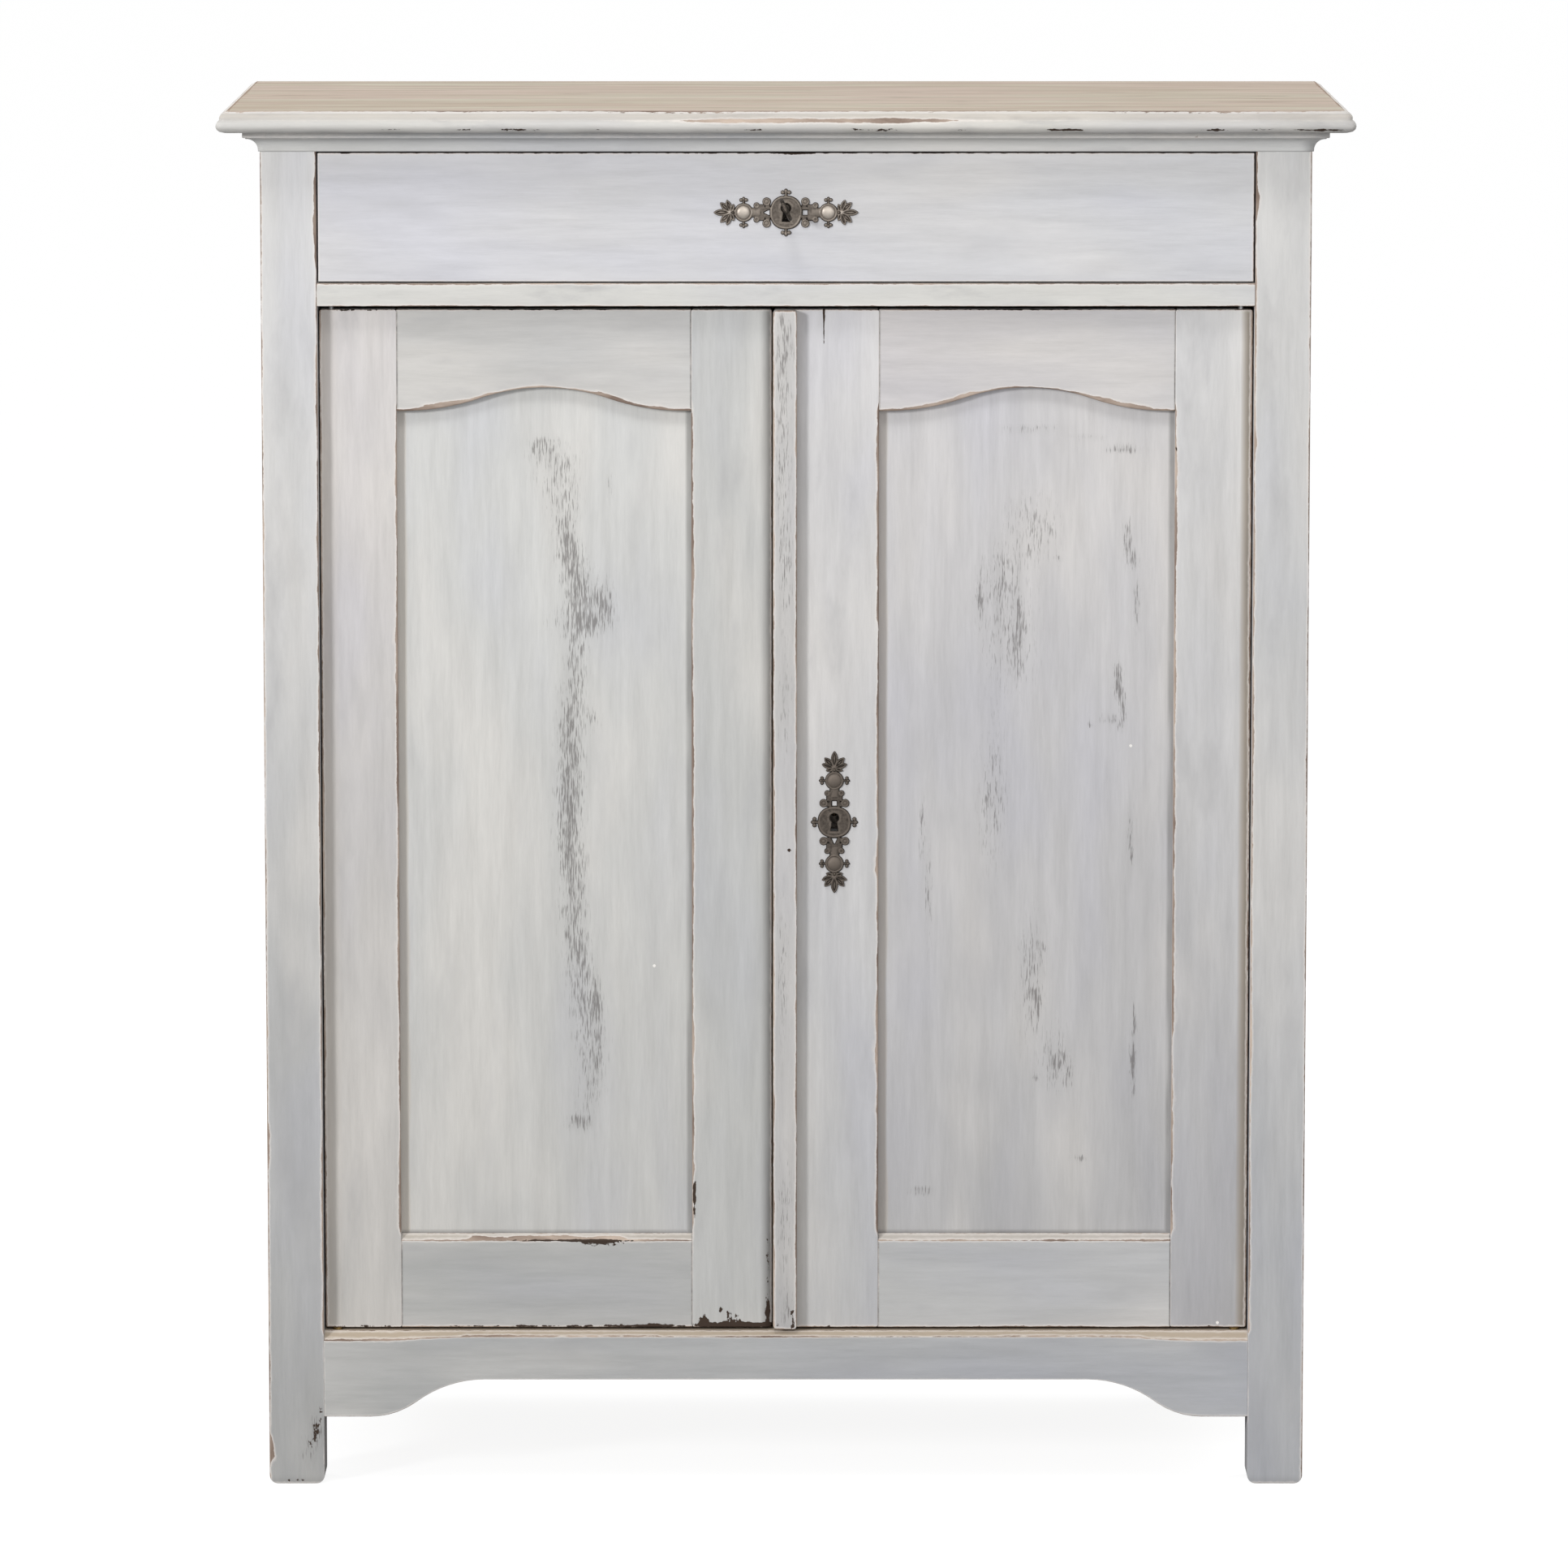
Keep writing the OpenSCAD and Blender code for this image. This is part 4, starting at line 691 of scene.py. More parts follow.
# Tones of each painted piece, from its low end to its high end, or from left to right. A darker
# low end is partly greyer paint and partly painted shade, for light that falls off towards the
# floor.
PAINT_AND_SHADE = {
    "front_left_post": ("#a3a3a2", "#dddcdb"),
    "front_right_post": ("#abacaf", "#dcdbd9"),
    "back_left_post": ("#a6a6a5", "#d5d4d2"),
    "back_right_post": ("#a8a9ac", "#d5d4d2"),
    "front_middle_rail": ("#d2d1cd", "#d7d6d2"),
    "front_apron": ("#b0b0ae", "#b4b5b8"),
    "cornice": ("#cbcbc9", "#d4d4d3"),
    "roll": ("#cbc9c4", "#d0cdc7"),
    "drawer_front": ("#d1d0d2", "#d3d3d5"),
    "left_door_hinge_stile": ("#b5b3af", "#d9d5d4"),
    "left_door_meeting_stile": ("#bbbbb9", "#cacac8"),
    "left_door_top_rail": ("#c1c0be", "#c6c5c4"),
    "left_door_bottom_rail": ("#b2b2b0", "#b3b3b2"),
    "left_door_panel": ("#c1c0bd", "#d4d4d2"),
    "right_door_meeting_stile": ("#b8b8b8", "#dbd9d9"),
    "right_door_hinge_stile": ("#abaaac", "#dddcdb"),
    "right_door_top_rail": ("#d0cccb", "#cac8c9"),
    "right_door_bottom_rail": ("#bdbdbc", "#bebebf"),
    "right_door_panel": ("#b4b3b3", "#d4d2d3"),
    "right_door_batten": ("#b8b6b5", "#cfcdcb"),
    "side_rails": ("#cfcecc", "#c6c5c3"),
    "side_panels": ("#bdbcba", "#d2d1cf"),
}


# Where the edges of the front posts have been knocked bare: edge, from and to height in metres,
# width in millimetres.
KNOCKS = {
    "front_left_post": (("outer", 0.029, 0.041, 5.5), ("outer", 0.30, 0.33, 1.8),
                        ("inner", 1.135, 1.215, 2.8)),
    "front_right_post": (("inner", 1.178, 1.196, 3.2), ("outer", 1.050, 1.062, 2.2),
                         ("inner", 0.96, 0.975, 2.4)),
}
# Rubbed and broken places on the left foot, in millimetres: x, z, half width, half height, and
# their strength.
FOOT_RUBS = [(-435, 50, 6, 15, 0.8), (-441, 32, 7, 9, 0.7)]
FOOT_SPECKS = [(-434, 50, 6, 14, 0.7), (-440, 34, 5, 6, 0.64), (-430, 68, 3, 8, 0.66),
               (-452, 3, 22, 2, 0.6)]
# How far in from its edges a foot has the extra grid lines that its rounded corners need.
FOOT_GRID = np.array([4, 5.5, 7, 9, 12]) * MM
# How far the left door's bolt runs, and the room round it in the rail's slot.
BOLT_TRAVEL, BOLT_PLAY = 15 * MM, 0.8 * MM


def paint_board(node, body, shape, grain, seed, span, thin=0.4, paint=None):
    """Puts a worn board in the scene for its CAD node, in chalk paint with the node's tones along
    span. Shape is its points, faces and layers, and paint names the material if node doesn't."""
    finish = chalk_paint("chalk_paint_" + (paint or node), grain, seed, PAINT_AND_SHADE[node], span, thin)
    place(fill_mesh(node + "_worn", *shape), body, [finish], [node])


class BUFFET_OT_posts(bpy.types.Operator):
    """The four posts, which end as feet with worn corners"""

    bl_idname = "buffet.posts"
    bl_label = "Posts"

    def execute(self, context):
        door_foot = corners("left_door_bottom_rail")[0][2]
        for seed, node in enumerate(("front_left_post", "front_right_post", "back_left_post",
                                     "back_right_post"), 11):
            lo, hi = corners(node)
            inner, outer = ("right", "left") if lo[0] < 0 else ("left", "right")
            inner_x, outer_x = (hi[0], lo[0]) if lo[0] < 0 else (lo[0], hi[0])
            lines = edge_lines(lo, hi, {inner: -1, outer: 0.85, "bottom": 0.4, "top": -1})
            if node.startswith("front"):
                lines.append(((inner_x, lo[1], door_foot), (inner_x, lo[1], hi[2]), 1.2))
            for edge, start, stop, width in KNOCKS.get(node, ()):
                x = inner_x if edge == "inner" else outer_x
                lines.append(((x, lo[1], start), (x, lo[1], stop), width))
            points, faces, layers = board(
                lo, hi, "Z", lines, seed,
                extra=(np.concatenate([lo[0] + FOOT_GRID, hi[0] - FOOT_GRID]), (),
                       np.append(lo[2] + FOOT_GRID, door_foot)),
                chips=FOOT_SPECKS if node == "front_left_post" else ())
            # The foot darkens within 8 mm of its lower end.
            layers["grime_and_shade"] = 0.3 * band(points[:, 2] - lo[2], 8 * MM, 8 * MM)
            layers["rub"] = spots(points, FOOT_RUBS) * at_face(points, lo)
            points = round_corners(points, lo, hi, sizes().foot_radius, "low")
            paint_board(node, "carcass", (points, faces, layers), "Z", seed, (lo[2], hi[2]))
        return {"FINISHED"}


class BUFFET_OT_rails(bpy.types.Operator):
    """The rail under the drawer and the shaped apron"""

    bl_idname = "buffet.rails"
    bl_label = "Rails and apron"

    def execute(self, context):
        left, right = corners("front_left_post")[1][0], corners("front_right_post")[0][0]
        self.middle_rail(left, right)
        self.apron(left, right)
        return {"FINISHED"}

    def middle_rail(self, left, right):
        """The rail under the drawer, with a slot into which the left door's bolt slides up."""
        lo, hi = between("front_middle_rail", left, right)
        lines = edge_lines(lo, hi, {"top": 0.8, "bottom": 0.5, "left": -1, "right": -1}, 0.1)
        slot_lo, slot_hi = corners("left_door_top_bolt")
        slot_lo, slot_hi = slot_lo - BOLT_PLAY, slot_hi + (BOLT_PLAY, 0, BOLT_TRAVEL + BOLT_PLAY)
        shape = board(lo, hi, "X", lines, 31, hollow=cells_between((*slot_lo[:2], 0), slot_hi),
                      extra=([slot_lo[0], slot_hi[0]], [slot_lo[1]], [slot_hi[2]]))
        paint_board("front_middle_rail", "carcass", shape, "X", 31, (left, right), 0.6,
                    "middle_rail")

    def apron(self, left, right):
        """The board under the doors. Its top slopes down to the face as a ledge, and its lower
        edge rises in an S-curve from a flat at each end."""
        s = sizes()
        lo, hi = between("front_apron", left, right)
        ledge = 7 * MM
        arris = hi[2] - ledge
        lines = edge_lines(lo, hi, {"top": 0.1, "bottom": 0.2, "left": -1, "right": -1}, 0.1)
        lines += [((left, lo[1], arris), (right, lo[1], arris), 0.55),
                  ((-0.30, lo[1], arris + 1 * MM), (-0.12, lo[1], arris + 1 * MM), 1.0),
                  ((0.20, lo[1], arris + 1 * MM), (0.33, lo[1], arris + 1 * MM), 0.8)]
        points, faces, layers = board(
            lo, hi, "X", lines, 33, step=5 * MM,
            extra=((), (), arris + np.array([-2.5, -1.2, -0.5, 0, 0.5, 1.2, 2.5]) * MM))
        layers["varnish_and_shade"] = 0.85 * band(hi[2] - points[:, 2], 7.6 * MM, 0.8 * MM)
        points = bevelled(points, lo, hi, "top", ledge, 11 * MM)
        rise = (hi[2] - lo[2]) - s.apron_middle
        from_end = np.minimum(points[:, 0] - left, right - points[:, 0]) - s.apron_flat
        points = lifted_foot(points, lo[2], hi[2], s_height(from_end, s.apron_run, rise, 0.4))
        paint_board("front_apron", "carcass", (points, faces, layers), "X", 33, (left, right),
                    paint="apron")


# Outline of the top's edge, from its underside up: how far each level stands out from the posts,
# and its height below the top surface, in millimetres. A roll, a small step and the top's edge.
ROLL = [(25.5, 20), (30.6, 19.7), (34.6, 18.5), (37.1, 16.4), (38, 13.8), (37.6, 11.2), (36.2, 9.2),
        (35.0, 8.6), (34.6, 8.0), (34.8, 6.2), (34.4, 4.4), (33.2, 2.8), (31.4, 1.9), (30.4, 1.5),
        (29.2, 0.7), (27.5, 0)]


def post_corner():
    """Half the width over the posts, and the plane of their faces."""
    lo, hi = corners("front_right_post")
    return hi[0], lo[1]


class BUFFET_OT_top(bpy.types.Operator):
    """The top board with its rolled edge, and the mitred cornice under it"""

    bl_idname = "buffet.top"
    bl_label = "Top and cornice"

    def execute(self, context):
        self.top_board()
        self.cornice()
        return {"FINISHED"}

    def top_board(self):
        """A grid box whose outer faces follow the roll: each level stands out by its own amount at
        the front and the sides, and the back stays flat."""
        lo, hi = corners("top_board")
        half, front = post_corner()
        level_out = np.array([p[0] for p in ROLL]) * MM
        level_z = hi[2] - np.array([p[1] for p in ROLL]) * MM
        u = ruled(-1.0, 1.0, 0.012, [-0.995, -0.99, 0.99, 0.995])
        v = ruled(0.0, 1.0, 0.03, [0.004, 0.008, 0.014])
        points, faces = skin(u, v, np.arange(len(level_z), dtype=float))
        level = points[:, 2].astype(int)
        out, z = level_out[level], level_z[level]
        x = points[:, 0] * (half + out)
        y = (front - out) + points[:, 1] * (hi[1] - front + out)
        corner = 5 * MM
        away_x = x - np.clip(x, -(half + out - corner), half + out - corner)
        away_y = y - np.maximum(y, front - out + corner)
        length = np.hypot(away_x, away_y)
        shorten = np.where(length > corner, 1 - corner / np.maximum(length, 1e-9), 0)
        x, y = x - away_x * shorten, y - away_y * shorten
        shape = np.stack([x, y, z], 1)
        drift = waves(shape, 41, 150 * MM)
        flat_top = level == len(level_z) - 1
        on_front = y < front - 20 * MM
        edge = np.minimum(half + level_out[-1] - np.abs(x), y - front + level_out[-1])
        rim = 0.8 + 0.5 * drift - edge / MM
        worn_stretch = 1.9 * np.clip(2.2 - np.abs((x - 32 * MM) / (62 * MM)), -1, 1)
        groove = (-np.abs(z - (hi[2] - 8.3 * MM)) / MM + np.where(on_front, worn_stretch, -1.9)
                  + 0.4 * waves(shape, 42, 30 * MM))
        inside = np.where(flat_top, rim, groove)
        patches = np.clip(0.5 + 0.8 * waves(shape, 44, 60 * MM), 0, 1)
        # The roll's upper rim is pale, partly worn paint and partly a painted highlight on the
        # arris.
        rim_wear_and_highlight = ~flat_top & (z > hi[2] - 2.0 * MM)
        # The roll's underside darkens in patches: dust and painted shade under the roll.
        dust = band(z - lo[2], 5.5 * MM, 5 * MM) * (0.08 + 0.3 * patches)
        varnish_and_shade = 0.26 * band(hi[2] - z, 10 * MM, 5 * MM)
        broken = 0.68 * patches * band(np.abs(z - lo[2] - 3.5 * MM), 3 * MM, 2 * MM)
        layers = {"wear": np.where(rim_wear_and_highlight, 0.9 + 0.05 * drift, wear_layer(inside)),
                  "grime_and_shade": np.where(flat_top, 0, dust),
                  "varnish_and_shade": np.where(flat_top | rim_wear_and_highlight, 0, varnish_and_shade),
                  "chip_and_shade": np.where(flat_top | (y > hi[1] - 1 * MM), 0, broken)}
        shape[:, 2] -= 0.2 * MM * np.abs(drift) * ~flat_top
        mesh = fill_mesh("top_board_worn", shape, faces, layers)
        paint = chalk_paint("chalk_paint_roll", "X", 43, PAINT_AND_SHADE["roll"], (-half, half), thin=0.75)
        place(mesh, "carcass", [paint, dry_wash("dry_wash_on_stained_top", 45)],
              ["top_board"])
        mesh.polygons.foreach_set("material_index", flat_top[faces].all(1).astype(np.int32))

    def cornice(self):
        """A closed profile, a fillet over a cove, carried round the front and both sides. At the
        corners a station stands out both ways, which makes the mitre."""
        lo, hi = corners("cornice_front")
        half, front = post_corner()
        back = corners("cornice_left")[1][1]
        top, foot = hi[2], lo[2]
        out = 15 * MM
        fillet = 5.5 * MM
        cove_r = min(10.5 * MM, top - foot - fillet - 1.5 * MM)
        turn = np.linspace(0, math.pi / 2, 10)
        cove = np.stack([out - 3 * MM - cove_r * np.sin(turn),
                         top - fillet - 1 * MM - cove_r * (1 - np.cos(turn))], 1)
        upper = np.array([(-0.8, 0), (-0.2, -0.3), (0, -0.9)]) * MM + (out, top)
        lower = (np.array([(0, 0.8), (-0.3, 0.2), (-0.9, 0), (-2.6, -0.2)]) * MM
                 + (out, top - fillet))
        profile = np.concatenate([[[-0.6 * MM, top]], upper, lower, cove,
                                  [[out - 3.2 * MM - cove_r, foot], [-0.6 * MM, foot]]])
        along = np.arange(0.004, 1.0, 0.012)
        side_y = np.concatenate([[back], front + (back - front) * along[::-1]])
        station = np.array([(-half, y, -1, 0) for y in side_y] + [(-half, front, -1, -1)]
                           + [(-half + 2 * half * t, front, 0, -1) for t in along]
                           + [(half, front, 1, -1)] + [(half, y, 1, 0) for y in side_y[::-1]])
        count, around = len(station), len(profile)
        x = station[:, None, 0] + station[:, None, 2] * profile[None, :, 0]
        y = station[:, None, 1] + station[:, None, 3] * profile[None, :, 0]
        z = np.broadcast_to(profile[None, :, 1], x.shape)
        points = np.stack([x, y, z], 2).reshape(-1, 3)
        ends = [list(range(around))[::-1], list(range((count - 1) * around, count * around))]
        mesh = bpy.data.meshes.new("cornice_worn")
        mesh.from_pydata(points.tolist(), [], tube_faces(count, around).tolist() + ends)
        mesh.update()
        depth = top - points[:, 2]
        # The fillet is painted pale: painted light on a face that the roll shades.
        inside = 0.5 * waves(points, 47, 90 * MM) - 0.7 - np.abs(depth - 0.6 * fillet) / (2.5 * MM)
        # The crease under the roll and the groove over the cove are darkened: painted shade.
        grime_and_shade = 0.3 * band(depth, 1.0 * MM, 1.2 * MM) + 0.25 * band(
            np.abs(depth - fillet - 1.0 * MM), 1.2 * MM, 1.2 * MM)
        finish_mesh(mesh, {"wear": wear_layer(inside), "grime_and_shade": grime_and_shade})
        place(mesh, "carcass", [chalk_paint("chalk_paint_cornice", "X", 49, PAINT_AND_SHADE["cornice"],
                                            (-half, half))],
              ["cornice_front", "cornice_left", "cornice_right"])


# Drawer and doors

def plate_centre(node):
    """Middle of an escutcheon on the front, as x and z."""
    lo, hi = corners(node)
    return ((lo + hi) / 2)[[0, 2]]


# Half the width and half the height of the hole in the wood behind an escutcheon.
KEYHOLE = np.array([4.4, 9]) * MM


def keyhole_at(centre):
    """The hole behind an escutcheon, right through its board: what marks its cells, the grid lines
    at its sides, and a dark oval among the chips that is painted shade on its walls and round it."""
    (x0, z0), (x1, z1) = centre - KEYHOLE, centre + KEYHOLE
    return (cells_between((x0, -1, z0), (x1, 1, z1)), [x0, x1], [z0, z1],
            (centre[0] / MM, centre[1] / MM, 8, 10, 2.0))


class BUFFET_OT_drawer(bpy.types.Operator):
    """The drawer front with its eased edges and its keyhole"""

    bl_idname = "buffet.drawer"
    bl_label = "Drawer front"

    def execute(self, context):
        lo, hi = corners("drawer_front")
        # The keyhole comes with an oval of painted shade for its walls.
        hollow, sides, ends, dark = keyhole_at(plate_centre("drawer_escutcheon"))
        lines = edge_lines(lo, hi, {"top": 0.2, "bottom": -0.15, "left": -0.2, "right": 0.3})
        # The dark marks: a band along the top edge that is painted shadow of the cornice in the gap
        # above, two deeper spots on that edge, and the keyhole's painted shade.
        points, faces, layers = board(
            lo, hi, "X", lines, 51, step=6 * MM, hollow=hollow, extra=(sides, (), ends),
            chips=[(0, 1232, 600, 1.2, 0.58), (8, 1232, 15, 2.2, 0.5),
                   (-404, 1232, 8, 1.8, 0.4), dark])
        # Behind the face the ends stand back a little, so that the sides' dovetails show in them.
        stand_back = 0.3 * MM
        behind = (points[:, 1] > lo[1] + 5 * MM) & (np.abs(points[:, 0]) > hi[0] - 0.1 * MM)
        points[:, 0] -= np.where(behind, np.sign(points[:, 0]) * stand_back, 0)
        paint_board("drawer_front", "drawer", (points, faces, layers), "X", 53, (lo[0], hi[0]), 0.2,
                    "drawer")
        return {"FINISHED"}


# Rubbed places on the panels, in millimetres: x, z, half width, half height, strength.
LEFT_RUBS = [
    (-228, 960, 3, 9, 0.5), (-162, 927, 3, 9, 0.6), (-166, 822, 9, 20, 0.6),
    (-186, 800, 26, 12, 0.4), (-177, 712, 6, 12, 0.45), (-174, 447, 4, 20, 0.6),
    (-172, 400, 3, 30, 0.4), (-192, 338, 9, 5, 0.7),
]
RIGHT_RUBS = [
    (222, 978, 27, 2.5, 0.8), (275, 970, 14, 2, 0.7), (308, 960, 13, 3, 1.1),
    (226, 886, 24, 30, 0.5), (196, 846, 14, 26, 0.38), (178, 822, 5, 24, 0.55),
    (214, 797, 4, 30, 0.7), (206, 785, 24, 50, 0.46), (313, 875, 4, 17, 1.1),
    (319, 857, 4, 8, 0.8), (321.5, 818, 2.6, 18, 1.0), (250, 858, 2.5, 1.3, 1.3),
    (303.6, 857.5, 1.3, 1.6, 1.3), (305, 745, 4, 15, 1.3), (309, 722, 2.4, 15, 1.1),
    (300, 711, 10, 3, 1.0), (307, 704, 3, 3, 1.1), (280, 706, 2.5, 2.5, 1.1),
    (317, 600, 3, 26, 0.75), (226, 470, 12, 52, 0.55), (231, 446, 3.4, 14, 1.0),
    (236, 499, 3, 3, 1.0), (250, 392, 12, 28, 0.65), (262, 382, 3.4, 15, 0.7),
    (230, 378, 2, 2.5, 1.1), (319.5, 385, 2.4, 24, 1.05), (321, 420, 2, 32, 0.75),
    (272, 302, 4, 3, 0.9), (125, 271, 10, 3, 1.1), (125, 612, 2.4, 32, 0.7),
    (131, 548, 3.2, 36, 0.7), (190, 640, 12, 60, 0.5),
]
BATTEN_RUBS = [
    (-2, 1052, 8, 40, 0.75), (-3, 960, 7, 60, 0.6), (0, 850, 7, 60, 0.5), (-1, 720, 6, 50, 0.4),
    (-3, 480, 6, 70, 0.45), (-1, 250, 7, 60, 0.5), (0, 165, 7, 16, 0.6),
]
# Chips and splits of the doors' stiles, likewise.
STILE_CHIPS = {
    "left_door_hinge_stile": [(-402, 1088, 12, 1.6, 0.8), (-378, 1088, 10, 1.4, 0.65)],
    "left_door_meeting_stile": [
        (-62, 147, 26, 2.6, 0.85), (-52, 155, 4, 8, 0.8), (-44, 156, 3, 7, 0.7),
        (-60, 160, 3, 6, 0.62), (-76, 152, 5, 5, 0.8), (-30, 147, 20, 2.4, 0.9),
        (-17, 158, 4, 15, 0.75), (-17, 205, 2.6, 34, 0.6), (-84.5, 268, 2.2, 24, 0.85)],
    "right_door_meeting_stile": [(34.5, 1088, 1.2, 10, 1.0), (34.6, 1068, 0.8, 20, 0.85)],
    "right_door_hinge_stile": [(357, 962, 2, 11, 0.7)],
}
# Where the two arcs of each half of the doors' arches meet, as a share of its run.
ARCH_TURN = 0.55
# The long streak down the left panel: z, x, half width, strength.
LEFT_STREAK = [
    (324, -190, 10, 0), (331, -190, 10, 0.75), (345, -187, 9, 0.35), (371, -178, 15, 0.45),
    (408, -180, 15, 0.5), (450, -185, 14, 0.75), (483, -190, 13, 0.8), (521, -195, 12, 0.85),
    (559, -195, 11, 0.9), (604, -199, 12, 1.05), (640, -199, 12, 1.05), (672, -197, 11, 1.0),
    (710, -197, 11, 0.85), (755, -194, 10, 0.75), (783, -191, 10, 0.65), (800, -184, 21, 0.72),
    (830, -188, 14, 0.95), (860, -197, 12, 1.1), (892, -202, 9, 1.0), (900, -203, 14, 0.6),
    (930, -207, 18, 0.58), (955, -214, 20, 0.6), (968, -219, 18, 0.5), (974, -220, 14, 0),
]


class BUFFET_OT_doors(bpy.types.Operator):
    """Both doors: stiles, arched top rails, bottom rails, panels and the cover batten"""

    bl_idname = "buffet.doors"
    bl_label = "Doors"

    def execute(self, context):
        self.door("left", LEFT_RUBS, LEFT_STREAK, 61)
        self.door("right", RIGHT_RUBS, None, 81)
        self.batten()
        return {"FINISHED"}

    def door(self, side, rubs, path, seed):
        """One door, its boards set by the boxes of its nodes."""
        name = side + "_door_"
        hinge, meet = corners(name + "hinge_stile"), corners(name + "meeting_stile")
        if side == "left":
            open_x, inner, outer = (hinge[1][0], meet[0][0]), "right", "left"
            hinge_x, meet_x = open_x
        else:
            open_x, inner, outer = (meet[1][0], hinge[0][0]), "left", "right"
            meet_x, hinge_x = open_x
        open_z = (corners(name + "bottom_rail")[1][2], corners(name + "top_rail")[0][2])
        face = hinge[0][1]
        ends = {"top": 0.4, "bottom": 0.7}
        for part, (lo, hi), widths, x, own in (
                ("hinge_stile", hinge, {inner: -1, outer: 0.6}, hinge_x, seed),
                ("meeting_stile", meet, {outer: -1, inner: 0.3}, meet_x, seed + 2)):
            lines = edge_lines(lo, hi, widths | ends)
            lines.append(((x, face, open_z[0]), (x, face, open_z[1]), 1.5))
            self.stile(name + part, side, lo, hi, lines, own)
        self.top_rail(name + "top_rail", side, *open_x, seed + 4)
        self.bottom_rail(name + "bottom_rail", side, *open_x, seed + 6)
        self.panel(name + "panel", side, open_x, open_z, rubs, path, seed + 8)

    def stile(self, node, side, lo, hi, lines, seed):
        """An upright board. The left door's meeting stile is eased towards its closing edge, the
        right door's one has a keyhole, and the hinge stiles are widened towards the posts."""
        hollow, extra = None, ((), (), ())
        # A dark band along the foot, stronger on the left door: partly chips, partly painted shade
        # that widens the gap under the door.
        foot = 0.62 if side == "left" else 0.45
        chips = [((lo[0] + hi[0]) / 2 / MM, lo[2] / MM + 1, 40, 1.8, foot), *STILE_CHIPS[node]]
        eased, widen = 9 * MM, 0.6 * MM
        lo, hi = lo.copy(), hi.copy()
        if node == "left_door_hinge_stile":
            lo[0] -= widen
        if node == "right_door_hinge_stile":
            hi[0] += widen
        if node == "right_door_meeting_stile":
            hollow, hole_x, hole_z, dark = keyhole_at(plate_centre("door_escutcheon"))
            split = 34.5 * MM
            extra = (np.append(hole_x, split + np.array([-2, -1.2, -0.6, 0, 0.6, 1.2, 2]) * MM), (),
                     np.append(hole_z, hi[2] - np.arange(4, 60, 6) * MM))
            # The keyhole's walls get painted shade.
            chips.append(dark)
        if node == "left_door_meeting_stile":
            extra = (np.append(hi[0] - np.linspace(0, 1, 7) * eased,
                               lo[0] + np.arange(3, 62, 2.5) * MM), (),
                     lo[2] + np.arange(5, 30, 3) * MM)
        points, faces, layers = board(lo, hi, "Z", lines, seed, hollow=hollow, extra=extra,
                                      chips=chips)
        # Darker near both ends, towards the gaps and the rails: dust and painted shade.
        ends = band(np.minimum(points[:, 2] - lo[2], hi[2] - points[:, 2]), 3 * MM, 6 * MM)
        layers["grime_and_shade"] = 0.2 * ends
        if node.endswith("hinge_stile"):
            edge = np.minimum(points[:, 0] - lo[0], hi[0] - points[:, 0])
            outer = (points[:, 0] < (lo[0] + hi[0]) / 2) == (side == "left")
            if side == "left":
                # A warm darker strip by the post: painted shadow of the post.
                layers["varnish_and_shade"] = 0.25 * outer * band(edge, 12 * MM, 3 * MM)
            else:
                # A dark warm strip in the recess by the post: dust and painted shade.
                strip = outer * band(edge, 4.6 * MM, 0.9 * MM)
                layers["varnish_and_shade"] = 0.9 * strip
                layers["grime_and_shade"] = np.maximum(layers["grime_and_shade"], 0.72 * strip)
        if node == "left_door_meeting_stile":
            # Darker towards the closing edge beside the batten: painted shade, with the edge eased
            # back below.
            closing = 0.7 * band(hi[0] - points[:, 0], 11 * MM, 9 * MM)
            layers["grime_and_shade"] = np.maximum(layers["grime_and_shade"], closing)
            points = bevelled(points, lo, hi, "right", eased, 4 * MM, 2)
        if node == "right_door_meeting_stile":
            batten_x = corners("right_door_batten")[1][0] - 3 * MM
            # A faint warm strip beside the batten: painted shadow of the batten.
            layers["varnish_and_shade"] = 0.1 * band(points[:, 0] - batten_x, 10 * MM, 2 * MM)
        points = round_corners(points, lo, hi, 2.5 * MM, "low high")
        paint_board(node, side + "_door", (points, faces, layers), "Z", seed, (lo[2], hi[2]))

    def top_rail(self, node, side, x0, x1, seed):
        """The rail over the panel: its lower edge is lifted into the arch, and is worn most on the
        arch's slopes."""
        lo, hi = between(node, x0, x1)
        lines = edge_lines(lo, hi, {"bottom": 1.8, "top": 0.4, "left": -1, "right": -1})
        middle = (x0 + x1) / 2
        for share in (-0.62, 0.62):
            x = middle + share * sizes().arch_run
            lines.append(((x - 0.03, lo[1], lo[2]), (x + 0.03, lo[1], lo[2]), 3.3))
        # A dark band along the top edge: partly chips, partly painted shade in the gap under the
        # rail above.
        chips = [(middle / MM, hi[2] / MM, 130, 1.5, 0.6)]
        points, faces, layers = board(lo, hi, "X", lines, seed, step=5 * MM, chips=chips)
        # Darker along the top edge, partly painted shade, and dark in the joints.
        layers["grime_and_shade"] = np.maximum(0.2 * band(hi[2] - points[:, 2], 3 * MM, 6 * MM),
                                     self.joint(points, x0, x1))
        s = sizes()
        from_start = s.arch_run - np.abs(points[:, 0] - middle)
        rise = s_height(from_start, s.arch_run, s.arch_rise, ARCH_TURN)
        points = lifted_foot(points, lo[2], hi[2], rise)
        paint_board(node, side + "_door", (points, faces, layers), "X", seed, (x0, x1))

    def bottom_rail(self, node, side, x0, x1, seed):
        """The rail under the panel, with a narrow ledge on top that is worn brown on the left."""
        lo, hi = between(node, x0, x1)
        ledge = 5.5 * MM
        arris = hi[2] - ledge
        lines = edge_lines(lo, hi, {"top": 0.1, "bottom": 0.7, "left": -1, "right": -1})
        lines.append(((x0, lo[1], arris), (x1, lo[1], arris), 0.5))
